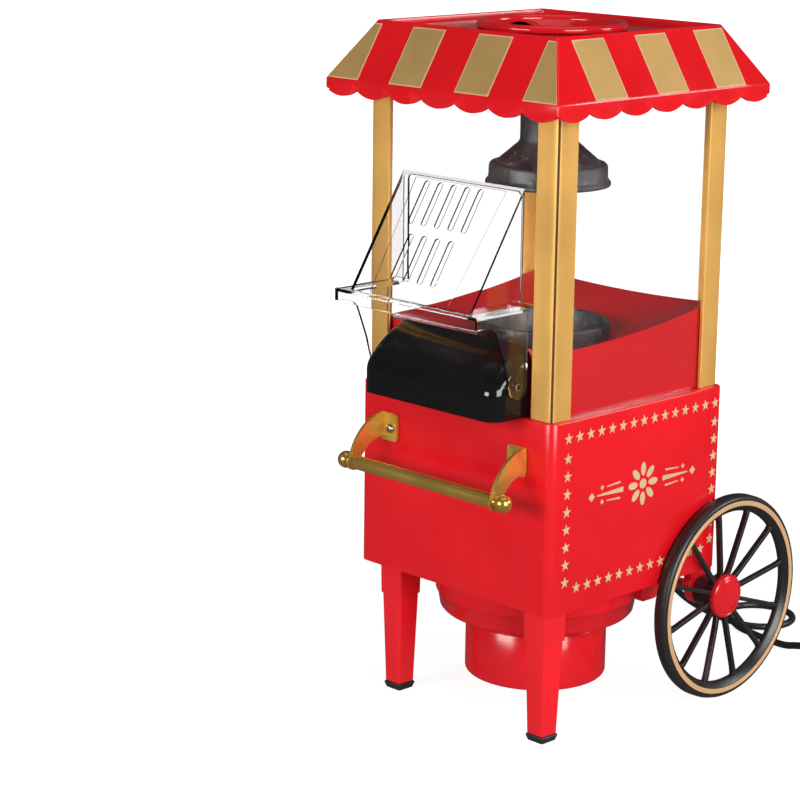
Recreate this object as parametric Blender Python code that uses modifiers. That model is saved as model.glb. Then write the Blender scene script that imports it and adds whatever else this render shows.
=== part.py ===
"""Tabletop popcorn cart: a hot-air popper in a red body with a glazed cabinet and cart wheels.

Sizes are millimetres in the cart's own frame (X to the right, Y to the back, Z up from the surface it
stands on, body axis at X = Y = 0). Helpers turn them into metres.
"""
import math

import bmesh
import bpy
from mathutils import Matrix

MM = 0.001
GAP = 0.3            # between pieces that touch
CENTRE_Y = -12.65    # moves the cart so that its box is centred on the origin

BODY_X, BODY_Y = 75.3, 73.2          # half width and half depth of the red body
BODY_LOW, BODY_TOP = 79.5, 189.2
WALL = 2.5
CORNER = 5.5
POST_X, POST_Y = 72.0, 71.0          # outer corner of each post
POST_LEG, POST_WALL, POST_GROOVE = 15.7, 2.2, 1.5
SHEET = 1.5                          # clear panel
CABINET_LOW, CABINET_TOP = BODY_TOP + GAP, 357.7
HOPPER_X, HOPPER_Y = 67.6, 66.7
CHUTE_X = 52.5

EAVE, EAVE_Z = 88.4, 363.4
RIM, RIM_Z = 67.9, 396.0
ROOF_Y = -2.2
DECK_Z = 392.5
ROOF_WALL = 2.0
SCALLOPS, SCALLOP_DEPTH, NOTCH_Z = 7, 4.0, 358.0
LID_R = 42.5

AXLE_Y, AXLE_Z, AXLE_R = 77.0, 61.5, 3.0
WHEEL_X, WHEEL_R = 80.5, 61.5
SPOKES, SPOKE_PHASE = 12, 0.38

HOOD_PIVOT = (-79.5, 208.0)          # y, z
HANDLE_Y, HANDLE_Z = -97.0, 147.3
HANDLE_X = 56.8                      # outer face of a handle bracket
LEG_X, LEG_Y = 57.7, -56.2
SWITCH = (-30.0, 72.0, 150.0)         # pivot of the rocker
CORD_R = 2.2
RELIEF_X, RELIEF_Z = -45.0, 98.0
COIL_AT, COIL_R, COIL_CLEAR = (-122.0, 192.0), 25.5, 20.4
PLUG_X, PLUG_Y, PLUG_Z = 80.0, 168.0, 6.8

RED = (0.62, 0.01, 0.015)
GOLD = (0.75, 0.52, 0.18)
BRASS = (0.72, 0.50, 0.14)
BLACK = (0.02, 0.02, 0.022)
CLEAR = (0.85, 0.88, 0.9)
STEEL = (0.6, 0.6, 0.6)
CAST = (0.10, 0.09, 0.10)


def clear_scene():
    for item in list(bpy.data.objects):
        bpy.data.objects.remove(item, do_unlink=True)


def new_collection(name):
    group = bpy.data.collections.new(name)
    bpy.context.scene.collection.children.link(group)
    return group


def make_material(name, colour, roughness=0.35, metallic=0.0, transmission=0.0):
    material = bpy.data.materials.new(name)
    material.use_nodes = True
    shader = material.node_tree.nodes["Principled BSDF"]
    shader.inputs["Base Color"].default_value = (*colour, 1)
    shader.inputs["Roughness"].default_value = roughness
    shader.inputs["Metallic"].default_value = metallic
    shader.inputs["Transmission Weight"].default_value = transmission
    material.diffuse_color = (*colour, 1)
    return material


clear_scene()
PARTS = new_collection("popcorn_cart")
CUTTERS = new_collection("cutters")
ROOT = bpy.data.objects.new("cart_frame", None)
PARTS.objects.link(ROOT)
ROOT.location = (0, CENTRE_Y * MM, 0)


# ---------------------------------------------------------------- solids

PLANES = {
    "XY": Matrix(((1, 0, 0, 0), (0, 1, 0, 0), (0, 0, 1, 0), (0, 0, 0, 1))),
    "YZ": Matrix(((0, 0, 1, 0), (1, 0, 0, 0), (0, 1, 0, 0), (0, 0, 0, 1))),
    "XZ": Matrix(((1, 0, 0, 0), (0, 0, 1, 0), (0, 1, 0, 0), (0, 0, 0, 1))),
}
TURNS = {
    "Z": (0, 0, 0),
    "-Z": (math.pi, 0, 0),
    "X": (0, math.pi / 2, 0),
    "-X": (0, -math.pi / 2, 0),
    "Y": (-math.pi / 2, 0, 0),
    "-Y": (math.pi / 2, 0, 0),
}


def arc(cx, cy, radius, start, end, steps):
    """Points of an arc in the outline's plane; angles in degrees, both ends included."""
    angles = [math.radians(start + (end - start) * i / steps) for i in range(steps + 1)]
    return [(cx + radius * math.cos(a), cy + radius * math.sin(a)) for a in angles]


def rounded_rectangle(x0, x1, y0, y1, radius, steps=4):
    return (
        arc(x1 - radius, y1 - radius, radius, 0, 90, steps)
        + arc(x0 + radius, y1 - radius, radius, 90, 180, steps)
        + arc(x0 + radius, y0 + radius, radius, 180, 270, steps)
        + arc(x1 - radius, y0 + radius, radius, 270, 360, steps)
    )


def bar(x, y, z, turn=None):
    """Box between the (low, high) limits on each axis, then turned by a matrix about its centre."""
    bm = bmesh.new()
    bmesh.ops.create_cube(bm, size=1)
    size = [(high - low) * MM for low, high in (x, y, z)]
    centre = [(high + low) / 2 * MM for low, high in (x, y, z)]
    bm.transform(Matrix.Diagonal((*size, 1)))
    if turn is not None:
        bm.transform(turn)
    bm.transform(Matrix.Translation(centre))
    return bm


def drum(radius, low, high, at=(0, 0, 0), axis="Z", sides=48, top=None):
    """Cylinder, or cone when top is given, along an axis through a point."""
    bm = bmesh.new()
    bmesh.ops.create_cone(bm, cap_ends=True, segments=sides, radius1=radius * MM,
                          radius2=(radius if top is None else top) * MM, depth=(high - low) * MM)
    bm.transform(Matrix.Translation((0, 0, (low + high) / 2 * MM)))
    turn = {"Z": Matrix(), "X": Matrix.Rotation(math.pi / 2, 4, "Y"),
            "Y": Matrix.Rotation(-math.pi / 2, 4, "X")}[axis]
    bm.transform(turn)
    bm.transform(Matrix.Translation([c * MM for c in at]))
    return bm


def plate(points, low, high, plane="XY"):
    """Flat outline given thickness from low to high along the normal of its plane."""
    curve = bpy.data.curves.new("outline", "CURVE")
    curve.dimensions = "2D"
    curve.fill_mode = "BOTH"
    curve.extrude = (high - low) / 2 * MM
    spline = curve.splines.new("POLY")
    spline.points.add(len(points) - 1)
    for point, (u, v) in zip(spline.points, points):
        point.co = (u * MM, v * MM, 0, 1)
    spline.use_cyclic_u = True
    return mesh_of_curve(curve, PLANES[plane] @ Matrix.Translation((0, 0, (low + high) / 2 * MM)))


def face_out(bm):
    bmesh.ops.recalc_face_normals(bm, faces=bm.faces)
    if bm.calc_volume(signed=True) < 0:
        bmesh.ops.reverse_faces(bm, faces=bm.faces)


def mesh_of_curve(curve, placing):
    holder = bpy.data.objects.new("outline", curve)
    CUTTERS.objects.link(holder)
    graph = bpy.context.evaluated_depsgraph_get()
    mesh = bpy.data.meshes.new_from_object(holder.evaluated_get(graph))
    bm = bmesh.new()
    bm.from_mesh(mesh)
    bmesh.ops.remove_doubles(bm, verts=bm.verts, dist=1e-6)
    bm.transform(placing)
    face_out(bm)
    bpy.data.meshes.remove(mesh)
    bpy.data.objects.remove(holder, do_unlink=True)
    bpy.data.curves.remove(curve)
    return bm


def stacked_squares(levels, at=(0, 0)):
    """Solid of square sections; levels are (z, half width) from the bottom up."""
    z0, half = levels[0]
    bm = bar((-half, half), (-half, half), (z0, levels[1][0]))
    top = max(bm.faces, key=lambda face: face.calc_center_median().z)
    previous = half
    for index, (z, size) in enumerate(levels[1:]):
        if index:
            grown = bmesh.ops.extrude_face_region(bm, geom=[top])
            bmesh.ops.delete(bm, geom=[top], context="FACES_ONLY")
            top = next(item for item in grown["geom"] if isinstance(item, bmesh.types.BMFace))
        for vert in top.verts:
            vert.co.x *= size / previous
            vert.co.y *= size / previous
            vert.co.z = z * MM
        previous = size
    bm.transform(Matrix.Translation((at[0] * MM, at[1] * MM, 0)))
    face_out(bm)
    return bm


def together(*solids):
    """One mesh of several solids that stay clear of each other."""
    whole = bmesh.new()
    for bm in solids:
        mesh = bpy.data.meshes.new("piece")
        bm.to_mesh(mesh)
        bm.free()
        whole.from_mesh(mesh)
        bpy.data.meshes.remove(mesh)
    return whole


# ---------------------------------------------------------------- objects

def place(item, material, group=None, parent=None):
    (group or PARTS).objects.link(item)
    item.parent = parent or ROOT
    if material is not None:
        item.data.materials.append(material)
    return item


def solid(name, bm, material=None, origin=(0, 0, 0), group=None):
    """Object from a mesh drawn in the cart's frame, with its origin at a chosen point."""
    start = [c * MM for c in origin]
    bm.transform(Matrix.Translation([-c for c in start]))
    mesh = bpy.data.meshes.new(name)
    bm.to_mesh(mesh)
    bm.free()
    item = bpy.data.objects.new(name, mesh)
    item.location = start
    return place(item, material, group)


def turned(name, profile, material=None, at=(0, 0, 0), axis="Z", steps=36, ring=True, group=None):
    """Turned piece: (radius, height) points down the outer side; ring closes the profile."""
    count = len(profile)
    edges = [(i, i + 1) for i in range(count - 1)] + ([(count - 1, 0)] if ring else [])
    mesh = bpy.data.meshes.new(name)
    mesh.from_pydata([(r * MM, 0, z * MM) for r, z in profile], edges, [])
    item = bpy.data.objects.new(name, mesh)
    item.location = [c * MM for c in at]
    item.rotation_euler = TURNS[axis]
    screw = item.modifiers.new("turn", "SCREW")
    screw.steps = screw.render_steps = steps
    screw.use_merge_vertices = True
    screw.merge_threshold = 1e-6
    return place(item, material, group)


def boolean(item, other, operation):
    """Cuts other from item, or joins it on; other is kept as a wire in the cutters' collection."""
    if isinstance(other, bmesh.types.BMesh):
        other = solid(item.name + "_tool", other, group=CUTTERS)
    other.display_type = "WIRE"
    other.hide_render = True
    step = item.modifiers.new(operation.lower(), "BOOLEAN")
    step.operation = operation
    step.solver = "EXACT"
    step.object = other
    return item


def cut(item, *tools):
    for tool in tools:
        boolean(item, tool, "DIFFERENCE")
    return item


def join(item, *tools):
    for tool in tools:
        boolean(item, tool, "UNION")
    return item


# ---------------------------------------------------------------- lower body

def make_body():
    red = make_material("body_red", RED, 0.2)
    outer = plate(rounded_rectangle(-BODY_X, BODY_X, -BODY_Y, BODY_Y, CORNER), BODY_LOW, BODY_TOP)
    body = solid("body_shell", outer, red)
    inner_x, inner_y = BODY_X - WALL, BODY_Y - WALL
    flange = 9.0
    cut(
        body,
        plate(rounded_rectangle(-inner_x, inner_x, -inner_y, inner_y, CORNER - WALL),
              BODY_LOW + WALL, BODY_TOP - WALL),
        bar((-BODY_X + flange, BODY_X - flange), (-BODY_Y + flange, BODY_Y - flange),
            (BODY_TOP - WALL - 1, BODY_TOP + 1)),
        drum(50, BODY_LOW - 1, BODY_LOW + WALL + 1),
        bar((-39.8, -20.2), (BODY_Y - WALL - 1, BODY_Y + 1), (143.2, 156.8)),
        drum(4.4, -6, 6, at=(RELIEF_X, BODY_Y - WALL / 2, RELIEF_Z), axis="Y", sides=24),
    )


def make_base():
    red = make_material("base_red", RED, 0.25)
    turned("base_bowl", [(60, BODY_LOW - GAP), (60, 66), (59, 63.6), (57, 61.8), (41.7, 47.2),
                         (39.5, 47.2), (55.5, 64), (58, 67), (58, BODY_LOW - GAP)], red)
    profile = [(41.7, 46.9), (41.7, 16), (39.7, 14), (0, 14), (0, 16), (39.7, 16), (39.7, 46.9)]
    cylinder = turned("base_cylinder", profile, make_material("cylinder_red", RED, 0.25), ring=True)
    slots = [bar((22, 34), (-1.6, 1.6), (12, 18)) for _ in range(12)]
    for index, slot in enumerate(slots):
        slot.transform(Matrix.Rotation(math.tau * index / len(slots), 4, "Z"))
    cut(cylinder, together(*slots))


def make_air_works():
    """Motor, fan, heater and popping chamber, on the body's axis."""
    metal = make_material("motor_steel", STEEL, 0.4, 1.0)
    holder = turned("motor_plate", [(39.4, 45.6), (39.4, 43.6), (4, 43.6), (4, 45.6)],
                    make_material("plate_black", BLACK, 0.5))
    vents = [drum(6.5, 42, 47, at=(26 * math.cos(a), 26 * math.sin(a), 0), sides=20)
             for a in (math.tau * k / 8 for k in range(8))]
    cut(holder, together(*vents))
    turned("motor", [(0, 43.3), (17, 43.3), (17, 21), (15, 19), (0, 19)], metal, ring=False)
    turned("motor_shaft", [(0, 62), (1.6, 62), (1.6, 43.6), (0, 43.6)],
           make_material("shaft_steel", STEEL, 0.3, 1.0), ring=False, steps=16)
    fan = turned("fan", [(7, 60), (7, 50), (1.9, 50), (1.9, 60)],
                 make_material("fan_black", BLACK, 0.5), steps=32)
    blades = []
    for index in range(6):
        blade = bar((6, 35), (-0.9, 0.9), (51, 59), Matrix.Rotation(math.radians(28), 4, "X"))
        blade.transform(Matrix.Rotation(math.tau * index / 6, 4, "Z"))
        blades.append(blade)
    join(fan, together(*blades))
    turned("chamber_ring", [(57, 84), (57, 82.3), (35.5, 82.3), (35.5, 84)],
           make_material("ring_steel", STEEL, 0.4, 1.0))
    turned("heater_duct", [(35.2, 96), (35.2, 66), (33.9, 66), (33.9, 96)],
           make_material("duct_steel", STEEL, 0.45, 1.0))
    turned("heater_coil", arc(22, 88, 1.6, 90, -225, 7), make_material("heater_wire", STEEL, 0.6, 1.0))
    chamber = turned("popping_chamber", [(36.5, 195.6), (36.5, 194.4), (32, 194.4), (32, 96.3), (0, 96.3),
                                         (0, 97.5), (30.8, 97.5), (30.8, 195.6)],
                     make_material("chamber_aluminium", (0.7, 0.7, 0.7), 0.3, 1.0), ring=True)
    louvres = [bar((14, 27), (-1.1, 1.1), (94, 99)) for _ in range(10)]
    for index, slot in enumerate(louvres):
        slot.transform(Matrix.Rotation(math.tau * index / len(louvres), 4, "Z"))
    cut(chamber, together(*louvres))
    solid("thermal_cutout", bar((32.4, 39), (-6, 6), (118, 128)),
          make_material("cutout_black", BLACK, 0.5))
    turned("pot_collar", [(37.5, 226.5), (37.5, 196), (33, 196), (33, 226.5)],
           make_material("collar_black", CAST, 0.45))


def hopper_edge(y):
    """Height of the hopper's side edge, which curves up to the back."""
    return 226.5 + 11.5 * max(0.0, (y + HOPPER_Y) / (2 * HOPPER_Y)) ** 2.2


def make_hopper():
    """Red tray round the pot: its floor dips in the middle and runs down to the chute."""
    bm = bmesh.new()
    cells = 12
    bmesh.ops.create_grid(bm, x_segments=cells, y_segments=cells, size=1)
    for vert in bm.verts:
        x, y = vert.co.x, vert.co.y
        dip = 16.0 * (1 - x * x) * (1 - y * y) + 2.5 * (1 - x * x) * max(0.0, y) ** 2
        vert.co = (x * HOPPER_X * MM, y * HOPPER_Y * MM, (hopper_edge(y * HOPPER_Y) - dip) * MM)
    border = [edge for edge in bm.edges if edge.is_boundary]
    skirt = bmesh.ops.extrude_edge_only(bm, edges=border)["geom"]
    for vert in (item for item in skirt if isinstance(item, bmesh.types.BMVert)):
        vert.co.z = (BODY_TOP + GAP) * MM
    hopper = solid("hopper", bm, make_material("hopper_red", RED, 0.25))
    shell = hopper.modifiers.new("wall", "SOLIDIFY")
    shell.thickness = 1.8 * MM
    shell.offset = -1
    shell.use_even_offset = True
    cut(hopper, drum(37.9, 180, 250))


def make_chute():
    black = make_material("chute_black", BLACK, 0.12)
    front, low, back, crest = -95.8, CABINET_LOW, -HOPPER_Y - GAP, 228.0
    skin = 2.0

    def side(inset, floor, rear, top):
        nose = arc(front + 12, 202, 12 - inset, 180, 130, 5)
        return [(rear, floor), (front + inset, floor)] + nose + [(rear, top)]

    chute = solid("chute", plate(side(0, low, back, crest), -CHUTE_X, CHUTE_X, "YZ"), black)
    hollow = side(skin, low - 1, back - skin, crest - 3.8)
    cut(chute, plate(hollow, skin - CHUTE_X, CHUTE_X - skin, "YZ"))


# ---------------------------------------------------------------- cabinet

def make_posts():
    for side_x, across in (("left", -1), ("right", 1)):
        for side_y, along in (("front", -1), ("rear", 1)):
            x, y = POST_X, POST_Y
            section = [(x - POST_LEG, y), (x - POST_GROOVE, y), (x - POST_GROOVE, y - POST_GROOVE),
                       (x, y - POST_GROOVE), (x, y - POST_LEG), (x - POST_WALL, y - POST_LEG),
                       (x - POST_WALL, y - POST_WALL), (x - POST_LEG, y - POST_WALL)]
            section = [(across * u, along * v) for u, v in section]
            solid(f"post_{side_y}_{side_x}", plate(section, CABINET_LOW, CABINET_TOP),
                  make_material(f"post_gold_{side_y}_{side_x}", GOLD, 0.3, 1.0))


def make_panels():
    def glass(name):
        return make_material(name, CLEAR, 0.05, 0.0, 1.0)

    outer = POST_X - POST_WALL - GAP
    for name, sign in (("left", -1), ("right", 1)):
        span = sorted((sign * outer, sign * (outer - SHEET)))
        solid(f"panel_{name}", bar(span, (-65.5, 65.5), (CABINET_LOW, CABINET_TOP)),
              glass(f"panel_{name}"))
    deep = POST_Y - POST_WALL - GAP
    wide = outer - SHEET - GAP
    solid("panel_rear", bar((-wide, wide), (deep - SHEET, deep), (CABINET_LOW, CABINET_TOP)),
          glass("panel_rear"))
    front = solid("panel_front", bar((-wide, wide), (-deep, -deep + SHEET), (CABINET_LOW, CABINET_TOP)),
                  glass("panel_front"))
    reach = (-deep - 2, -deep + SHEET + 2)
    cut(front, bar((-56, 56), reach, (CABINET_LOW - 2, 251.5)), bar((-43, 43), reach, (250, 311)))


def make_hood():
    """Clear hood over the outlet: a slotted slope, side cheeks, a lip, and ears hung on two pins."""
    rear, lip = -69.2, -113.2
    low, top = (-109.5, 250.0), (rear, 314.0)
    slope = [low, (low[0] + 2.0, low[1]), (top[0], top[1] - 3.1), top]
    hood = solid("hood", plate(slope, -46.5, 46.5, "YZ"),
                 make_material("hood_clear", CLEAR, 0.05, 0.0, 1.0), origin=(0, *HOOD_PIVOT))
    ear = ([(-73.0, 250.0), (-73.0, 206.5)] + arc(-79.5, 207.5, 6.4, -20, -170, 6)
           + [(-88.5, 216.5), (-93.5, 230.0), (-98.5, 240.5), (-104.0, 243.5), (-112.0, 243.5),
               (-112.0, 250.0)])
    for sign in (-1, 1):
        cheek = sorted((sign * 46.5, sign * 45.0))
        shoulder = sorted((sign * 45.2, sign * 55.0))
        ear_x = sorted((sign * 53.2, sign * 55.0))
        join(
            hood,
            plate([(low[0] + 0.4, 249.6), (rear, 249.6), (rear, top[1] - 0.6)], *cheek, "YZ"),
            bar(shoulder, (lip + 0.6, rear - 3.0), (248.6, 250.4)),
            plate(ear, *ear_x, "YZ"),
        )
        cut(hood, drum(1.8, *sorted((sign * 50, sign * 58)), at=(0, *HOOD_PIVOT), axis="X", sides=20))
    join(hood, bar((-55.0, 55.0), (lip, lip + 1.6), (243.2, 250.8)),
         bar((-54.0, 54.0), (lip + 0.8, -107.6), (248.7, 250.3)))
    cut(hood, hood_slots(low, top))
    for name, axis, sign in (("left", "-X", -1), ("right", "X", 1)):
        turned(f"hood_pin_{name}", [(0, 56.8), (2.6, 56.8), (3.0, 56.3), (3.0, 55.3), (1.5, 55.3),
                                    (1.5, CHUTE_X + GAP), (0, CHUTE_X + GAP)],
               make_material(f"pin_clear_{name}", CLEAR, 0.1), at=(0, *HOOD_PIVOT), axis=axis,
               steps=20, ring=False)


def hood_slots(low, top):
    """Two rows of round-ended vent slots, drawn flat and laid on the slope."""
    run, rise = top[0] - low[0], top[1] - low[1]
    tilt = math.atan2(rise, run)
    slots = []
    pitch, middle = 10.35, -4.75
    for count, start, length in ((5, 46.8, 23.0), (4, 13.5, 24.0)):
        for index in range(count):
            x = (index - (count - 1) / 2) * pitch + middle
            shape = arc(x, start + length, 1.9, 0, 180, 5) + arc(x, start, 1.9, 180, 360, 5)
            slots.append(plate(shape, -6, 6))
    for slot in slots:
        slot.transform(Matrix.Rotation(tilt, 4, "X"))
        slot.transform(Matrix.Translation((0, low[0] * MM, low[1] * MM)))
    return together(*slots)


# ---------------------------------------------------------------- roof

def roof_half(z):
    return EAVE + (RIM - EAVE) * (z - EAVE_Z) / (RIM_Z - EAVE_Z)


def scallop_cutter():
    """Outline under one side's scalloped edge, drawn across X."""
    pitch = 2 * EAVE / SCALLOPS
    sag = SCALLOP_DEPTH
    radius = (pitch * pitch / 4 + sag * sag) / (2 * sag)
    half_angle = math.degrees(math.asin(pitch / 2 / radius))
    edge = []
    for index in range(SCALLOPS):
        centre = -EAVE + pitch * (index + 0.5)
        lobe = arc(centre, NOTCH_Z - sag + radius, radius, -90 - half_angle, -90 + half_angle, 8)
        edge += lobe if index == 0 else lobe[1:]
    return [(-EAVE - 3, 345.0), (-EAVE - 3, NOTCH_Z)] + edge + [(EAVE + 3, NOTCH_Z), (EAVE + 3, 345.0)]


def make_roof():
    levels = [(350, EAVE), (EAVE_Z, EAVE), (RIM_Z, RIM)]
    canopy = solid("roof_canopy", stacked_squares(levels, (0, ROOF_Y)),
                   make_material("roof_red", RED, 0.2))
    under = DECK_Z - ROOF_WALL
    cut(
        canopy,
        stacked_squares([(348, EAVE - ROOF_WALL), (EAVE_Z - 0.4, EAVE - ROOF_WALL),
                         (under, roof_half(under) - ROOF_WALL - 0.4)], (0, ROOF_Y)),
        stacked_squares([(DECK_Z, RIM - ROOF_WALL), (RIM_Z + 3, RIM - ROOF_WALL)], (0, ROOF_Y)),
        drum(39.5, under - 3, DECK_Z + 2),
    )
    for index in range(4):
        tool = plate(scallop_cutter(), -EAVE - 4, -EAVE + ROOF_WALL + 0.8, "XZ")
        tool.transform(Matrix.Rotation(index * math.pi / 2, 4, "Z"))
        tool.transform(Matrix.Translation((0, ROOF_Y * MM, 0)))
        cut(canopy, tool)
    ceiling = solid("top_plate", bar((-85.8, 85.8), (-85.8 + ROOF_Y, 85.8 + ROOF_Y), (358.0, 360.4)),
                    make_material("plate_red", RED, 0.3))
    cut(ceiling, drum(16.4, 355, 363))
    turned("bell", [(19, 362), (19, 360.7), (16, 360.7), (16, 329.5), (28.8, 318.2), (29.8, 317.4),
                    (32.2, 317.0), (33.3, 315.4), (33.5, 308.6), (35.3, 306.6), (35.3, 304.8),
                    (31.8, 304.6), (31.6, 313.4), (28.4, 315.6), (16, 326.6), (14.3, 329.6), (14.3, 362)],
           make_material("bell_cast", CAST, 0.5))
    turned("kernel_funnel", [(41.5, 390.2), (41.5, 389), (37.8, 389), (13.8, 364.6), (13.8, 362.3),
                             (12.6, 362.3), (12.6, 365.2), (37, 390.2)],
           make_material("funnel_red", RED, 0.3))


def make_lid():
    """Round measuring cup that closes the roof, with a finger loop in its dish."""
    lip = arc(40.0, 394.4, 2.5, 180, -40, 9)
    lid = turned("lid_cup", lip + [(41.4, DECK_Z + GAP), (36.6, DECK_Z + GAP), (35.4, 390.4), (29.6, 385.5),
                                   (0, 385.5), (0, 387.0), (29.0, 387.0), (34.0, 391.2), (35.6, 393.4)],
                 make_material("lid_red", RED, 0.2))
    loop_x, loop_y, loop_z, thick = -12.9, -9.0, 386.2, 2.2
    outer = [(loop_x + 17.2 * x, loop_z + 10.6 * z) for x, z in arc(0, 0, 1, 0, 180, 16)]
    inner = [(loop_x + 11.9 * x, loop_z + 8.6 * z) for x, z in arc(0, 0, 1, 180, 0, 14)]
    join(lid, plate(outer + inner, loop_y - thick, loop_y + thick, "XZ"))


# ---------------------------------------------------------------- running gear

def make_legs():
    for name, sign in (("left", -1), ("right", 1)):
        levels = [(4.3, 6.1), (59.0, 7.7), (59.3, 8.3), (BODY_LOW - GAP, 8.75)]
        solid(f"leg_{name}", stacked_squares(levels, (sign * LEG_X, LEG_Y)),
              make_material(f"leg_red_{name}", RED, 0.22))
        pad = stacked_squares([(0, 5.7), (1.2, 6.6), (4.0, 6.6)], (sign * LEG_X, LEG_Y))
        solid(f"foot_pad_{name}", pad,
              make_material(f"foot_rubber_{name}", BLACK, 0.8))


def make_axle():
    top = BODY_LOW - GAP
    boss = 9.0
    shape = ([(23, top), (23, 65), (35, 65), (39, 69.5), (41, 75), (AXLE_Y - boss, 75)]
             + arc(AXLE_Y, AXLE_Z, boss, 180, 360, 10) + [(AXLE_Y + boss, top)])
    for name, sign in (("left", -1), ("right", 1)):
        span = sorted((sign * 56.0, sign * 62.0))
        bracket = solid(f"axle_bracket_{name}", plate(shape, *span, "YZ"),
                        make_material(f"bracket_red_{name}", RED, 0.25))
        cut(bracket, drum(AXLE_R + GAP, -70, 70, at=(0, AXLE_Y, AXLE_Z), axis="X", sides=24))
    turned("axle", [(0, 79), (AXLE_R, 79), (AXLE_R, -79), (0, -79)],
           make_material("axle_steel", STEEL, 0.35, 1.0), at=(0, AXLE_Y, AXLE_Z), axis="X", steps=24,
           ring=False)


def make_wheels():
    """Spoked wheels; heights run outwards from the middle of the rim."""
    tread = [(58.4, 4.3), (60.4, 3.7), (61.3, 2.3), (61.5, 1.2), (61.5, -2.6), (60.7, -3.8), (59.0, -4.2),
             (56.2, -4.2), (55.6, -2.4), (53.0, -2.0), (51.6, 0.0), (51.6, 1.0), (55.2, 4.2)]
    for name, axis, sign in (("left", "-X", -1), ("right", "X", 1)):
        hub_at = (sign * WHEEL_X, AXLE_Y, AXLE_Z)
        wheel = turned(f"wheel_{name}", tread, make_material(f"wheel_black_{name}", BLACK, 0.25),
                       at=hub_at, axis=axis, steps=48)
        hub = turned(f"hub_{name}", [(12.3, -1.5), (12.3, -7.5), (9.5, -9.5), (9.5, -18.0),
                                       (AXLE_R + GAP, -18.0), (AXLE_R + GAP, -1.5)],
                     at=hub_at, axis=axis, steps=32, group=CUTTERS)
        spokes = []
        spoke_x = sorted((sign * (WHEEL_X - 4.75), sign * (WHEEL_X - 1.85)))
        for index in range(SPOKES):
            spoke = bar(spoke_x, (-1.0, 1.0), (8.5, 54.0))
            for vert in spoke.verts:
                vert.co.x += sign * 0.0747 * (vert.co.z - 8.5 * MM)
            spoke.transform(Matrix.Rotation(math.tau * (index + SPOKE_PHASE) / SPOKES, 4, "X"))
            spoke.transform(Matrix.Translation((0, AXLE_Y * MM, AXLE_Z * MM)))
            spokes.append(spoke)
        join(wheel, hub, together(*spokes))
        cap = [(0, 3.4), (4, 3.1), (8, 2.2), (11, 0.8), (13, -1.0), (13, -1.2), (0, -1.2)]
        turned(f"hub_cap_{name}", cap,
               make_material(f"cap_red_{name}", RED, 0.15), at=hub_at, axis=axis, steps=32, ring=False)


# ---------------------------------------------------------------- handle

def make_handle():
    front = -BODY_Y - GAP
    low, high = 157.0, 173.5
    arm = ([(front, high), (front, low + 3)] + arc(-74.5, 139.5, 19.5, 88, 140, 5)
           + arc(HANDLE_Y, HANDLE_Z, 5.0, 20, -190, 8) + arc(-70.0, 143.0, 31.0, 172, 100, 8))
    for name, sign, axis in (("left", -1, "-X"), ("right", 1, "X")):
        arm_x = sorted((sign * (HANDLE_X - 1.8), sign * HANDLE_X))
        flange_x = sorted((sign * 43.5, sign * (HANDLE_X - 0.6)))
        bracket = solid(f"handle_bracket_{name}", plate(arm, *arm_x, "YZ"),
                        make_material(f"bracket_brass_{name}", BRASS, 0.25, 1.0))
        join(bracket, bar(flange_x, (front - 1.6, front), (low, high)))
        reach = sorted((sign * 50, sign * 60))
        cut(bracket, drum(2.3, *reach, at=(0, HANDLE_Y, HANDLE_Z), axis="X", sides=20))
        turned(f"handle_ball_{name}", ball_profile(),
               make_material(f"ball_brass_{name}", BRASS, 0.15, 1.0),
               at=(0, HANDLE_Y, HANDLE_Z), axis=axis, steps=24, ring=False)
        turned(f"handle_screw_{name}", [(0, 2.0), (1.6, 1.9), (2.7, 1.0), (2.7, 0), (0, 0)],
               make_material(f"screw_steel_{name}", STEEL, 0.2, 1.0),
               at=(sign * 48.5, front - 1.6 - GAP, 164.5), axis="-Y", steps=20, ring=False)
    turned("handle_rod", [(0, 54.7), (4.1, 54.7), (4.1, -54.7), (0, -54.7)],
           make_material("rod_brass", BRASS, 0.15, 1.0), at=(0, HANDLE_Y, HANDLE_Z), axis="X", steps=24,
           ring=False)


def ball_profile():
    neck = HANDLE_X + GAP
    ball = arc(0, 62.0, 5.0, 90, -52, 9)
    return ball + [(3.2, neck + 0.9), (3.2, neck), (2.0, neck), (2.0, 55.0), (0, 55.0)]


# ---------------------------------------------------------------- switch and cord

def make_switch():
    """Rocker switch on the back wall."""
    x, y, z = SWITCH
    back = BODY_Y + GAP
    bezel = solid("switch_bezel", bar((x - 12, x + 12), (back, back + 1.6), (z - 8.8, z + 8.8)),
                  make_material("bezel_black", BLACK, 0.4))
    join(bezel, bar((x - 9.5, x + 9.5), (58, back + 0.4), (z - 6.5, z + 6.5)))
    cut(bezel, bar((x - 8, x + 8), (64, back + 3), (z - 5.3, z + 5.3)))
    side = [(y - 5, z - 2.4), (y - 5, z + 2.4), (y + 3.8, z + 4.4), (y + 2.6, z), (y + 5.6, z - 4.4)]
    solid("switch_rocker", plate(side, x - 7.4, x + 7.4, "YZ"),
          make_material("rocker_black", BLACK, 0.35), origin=SWITCH)


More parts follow.
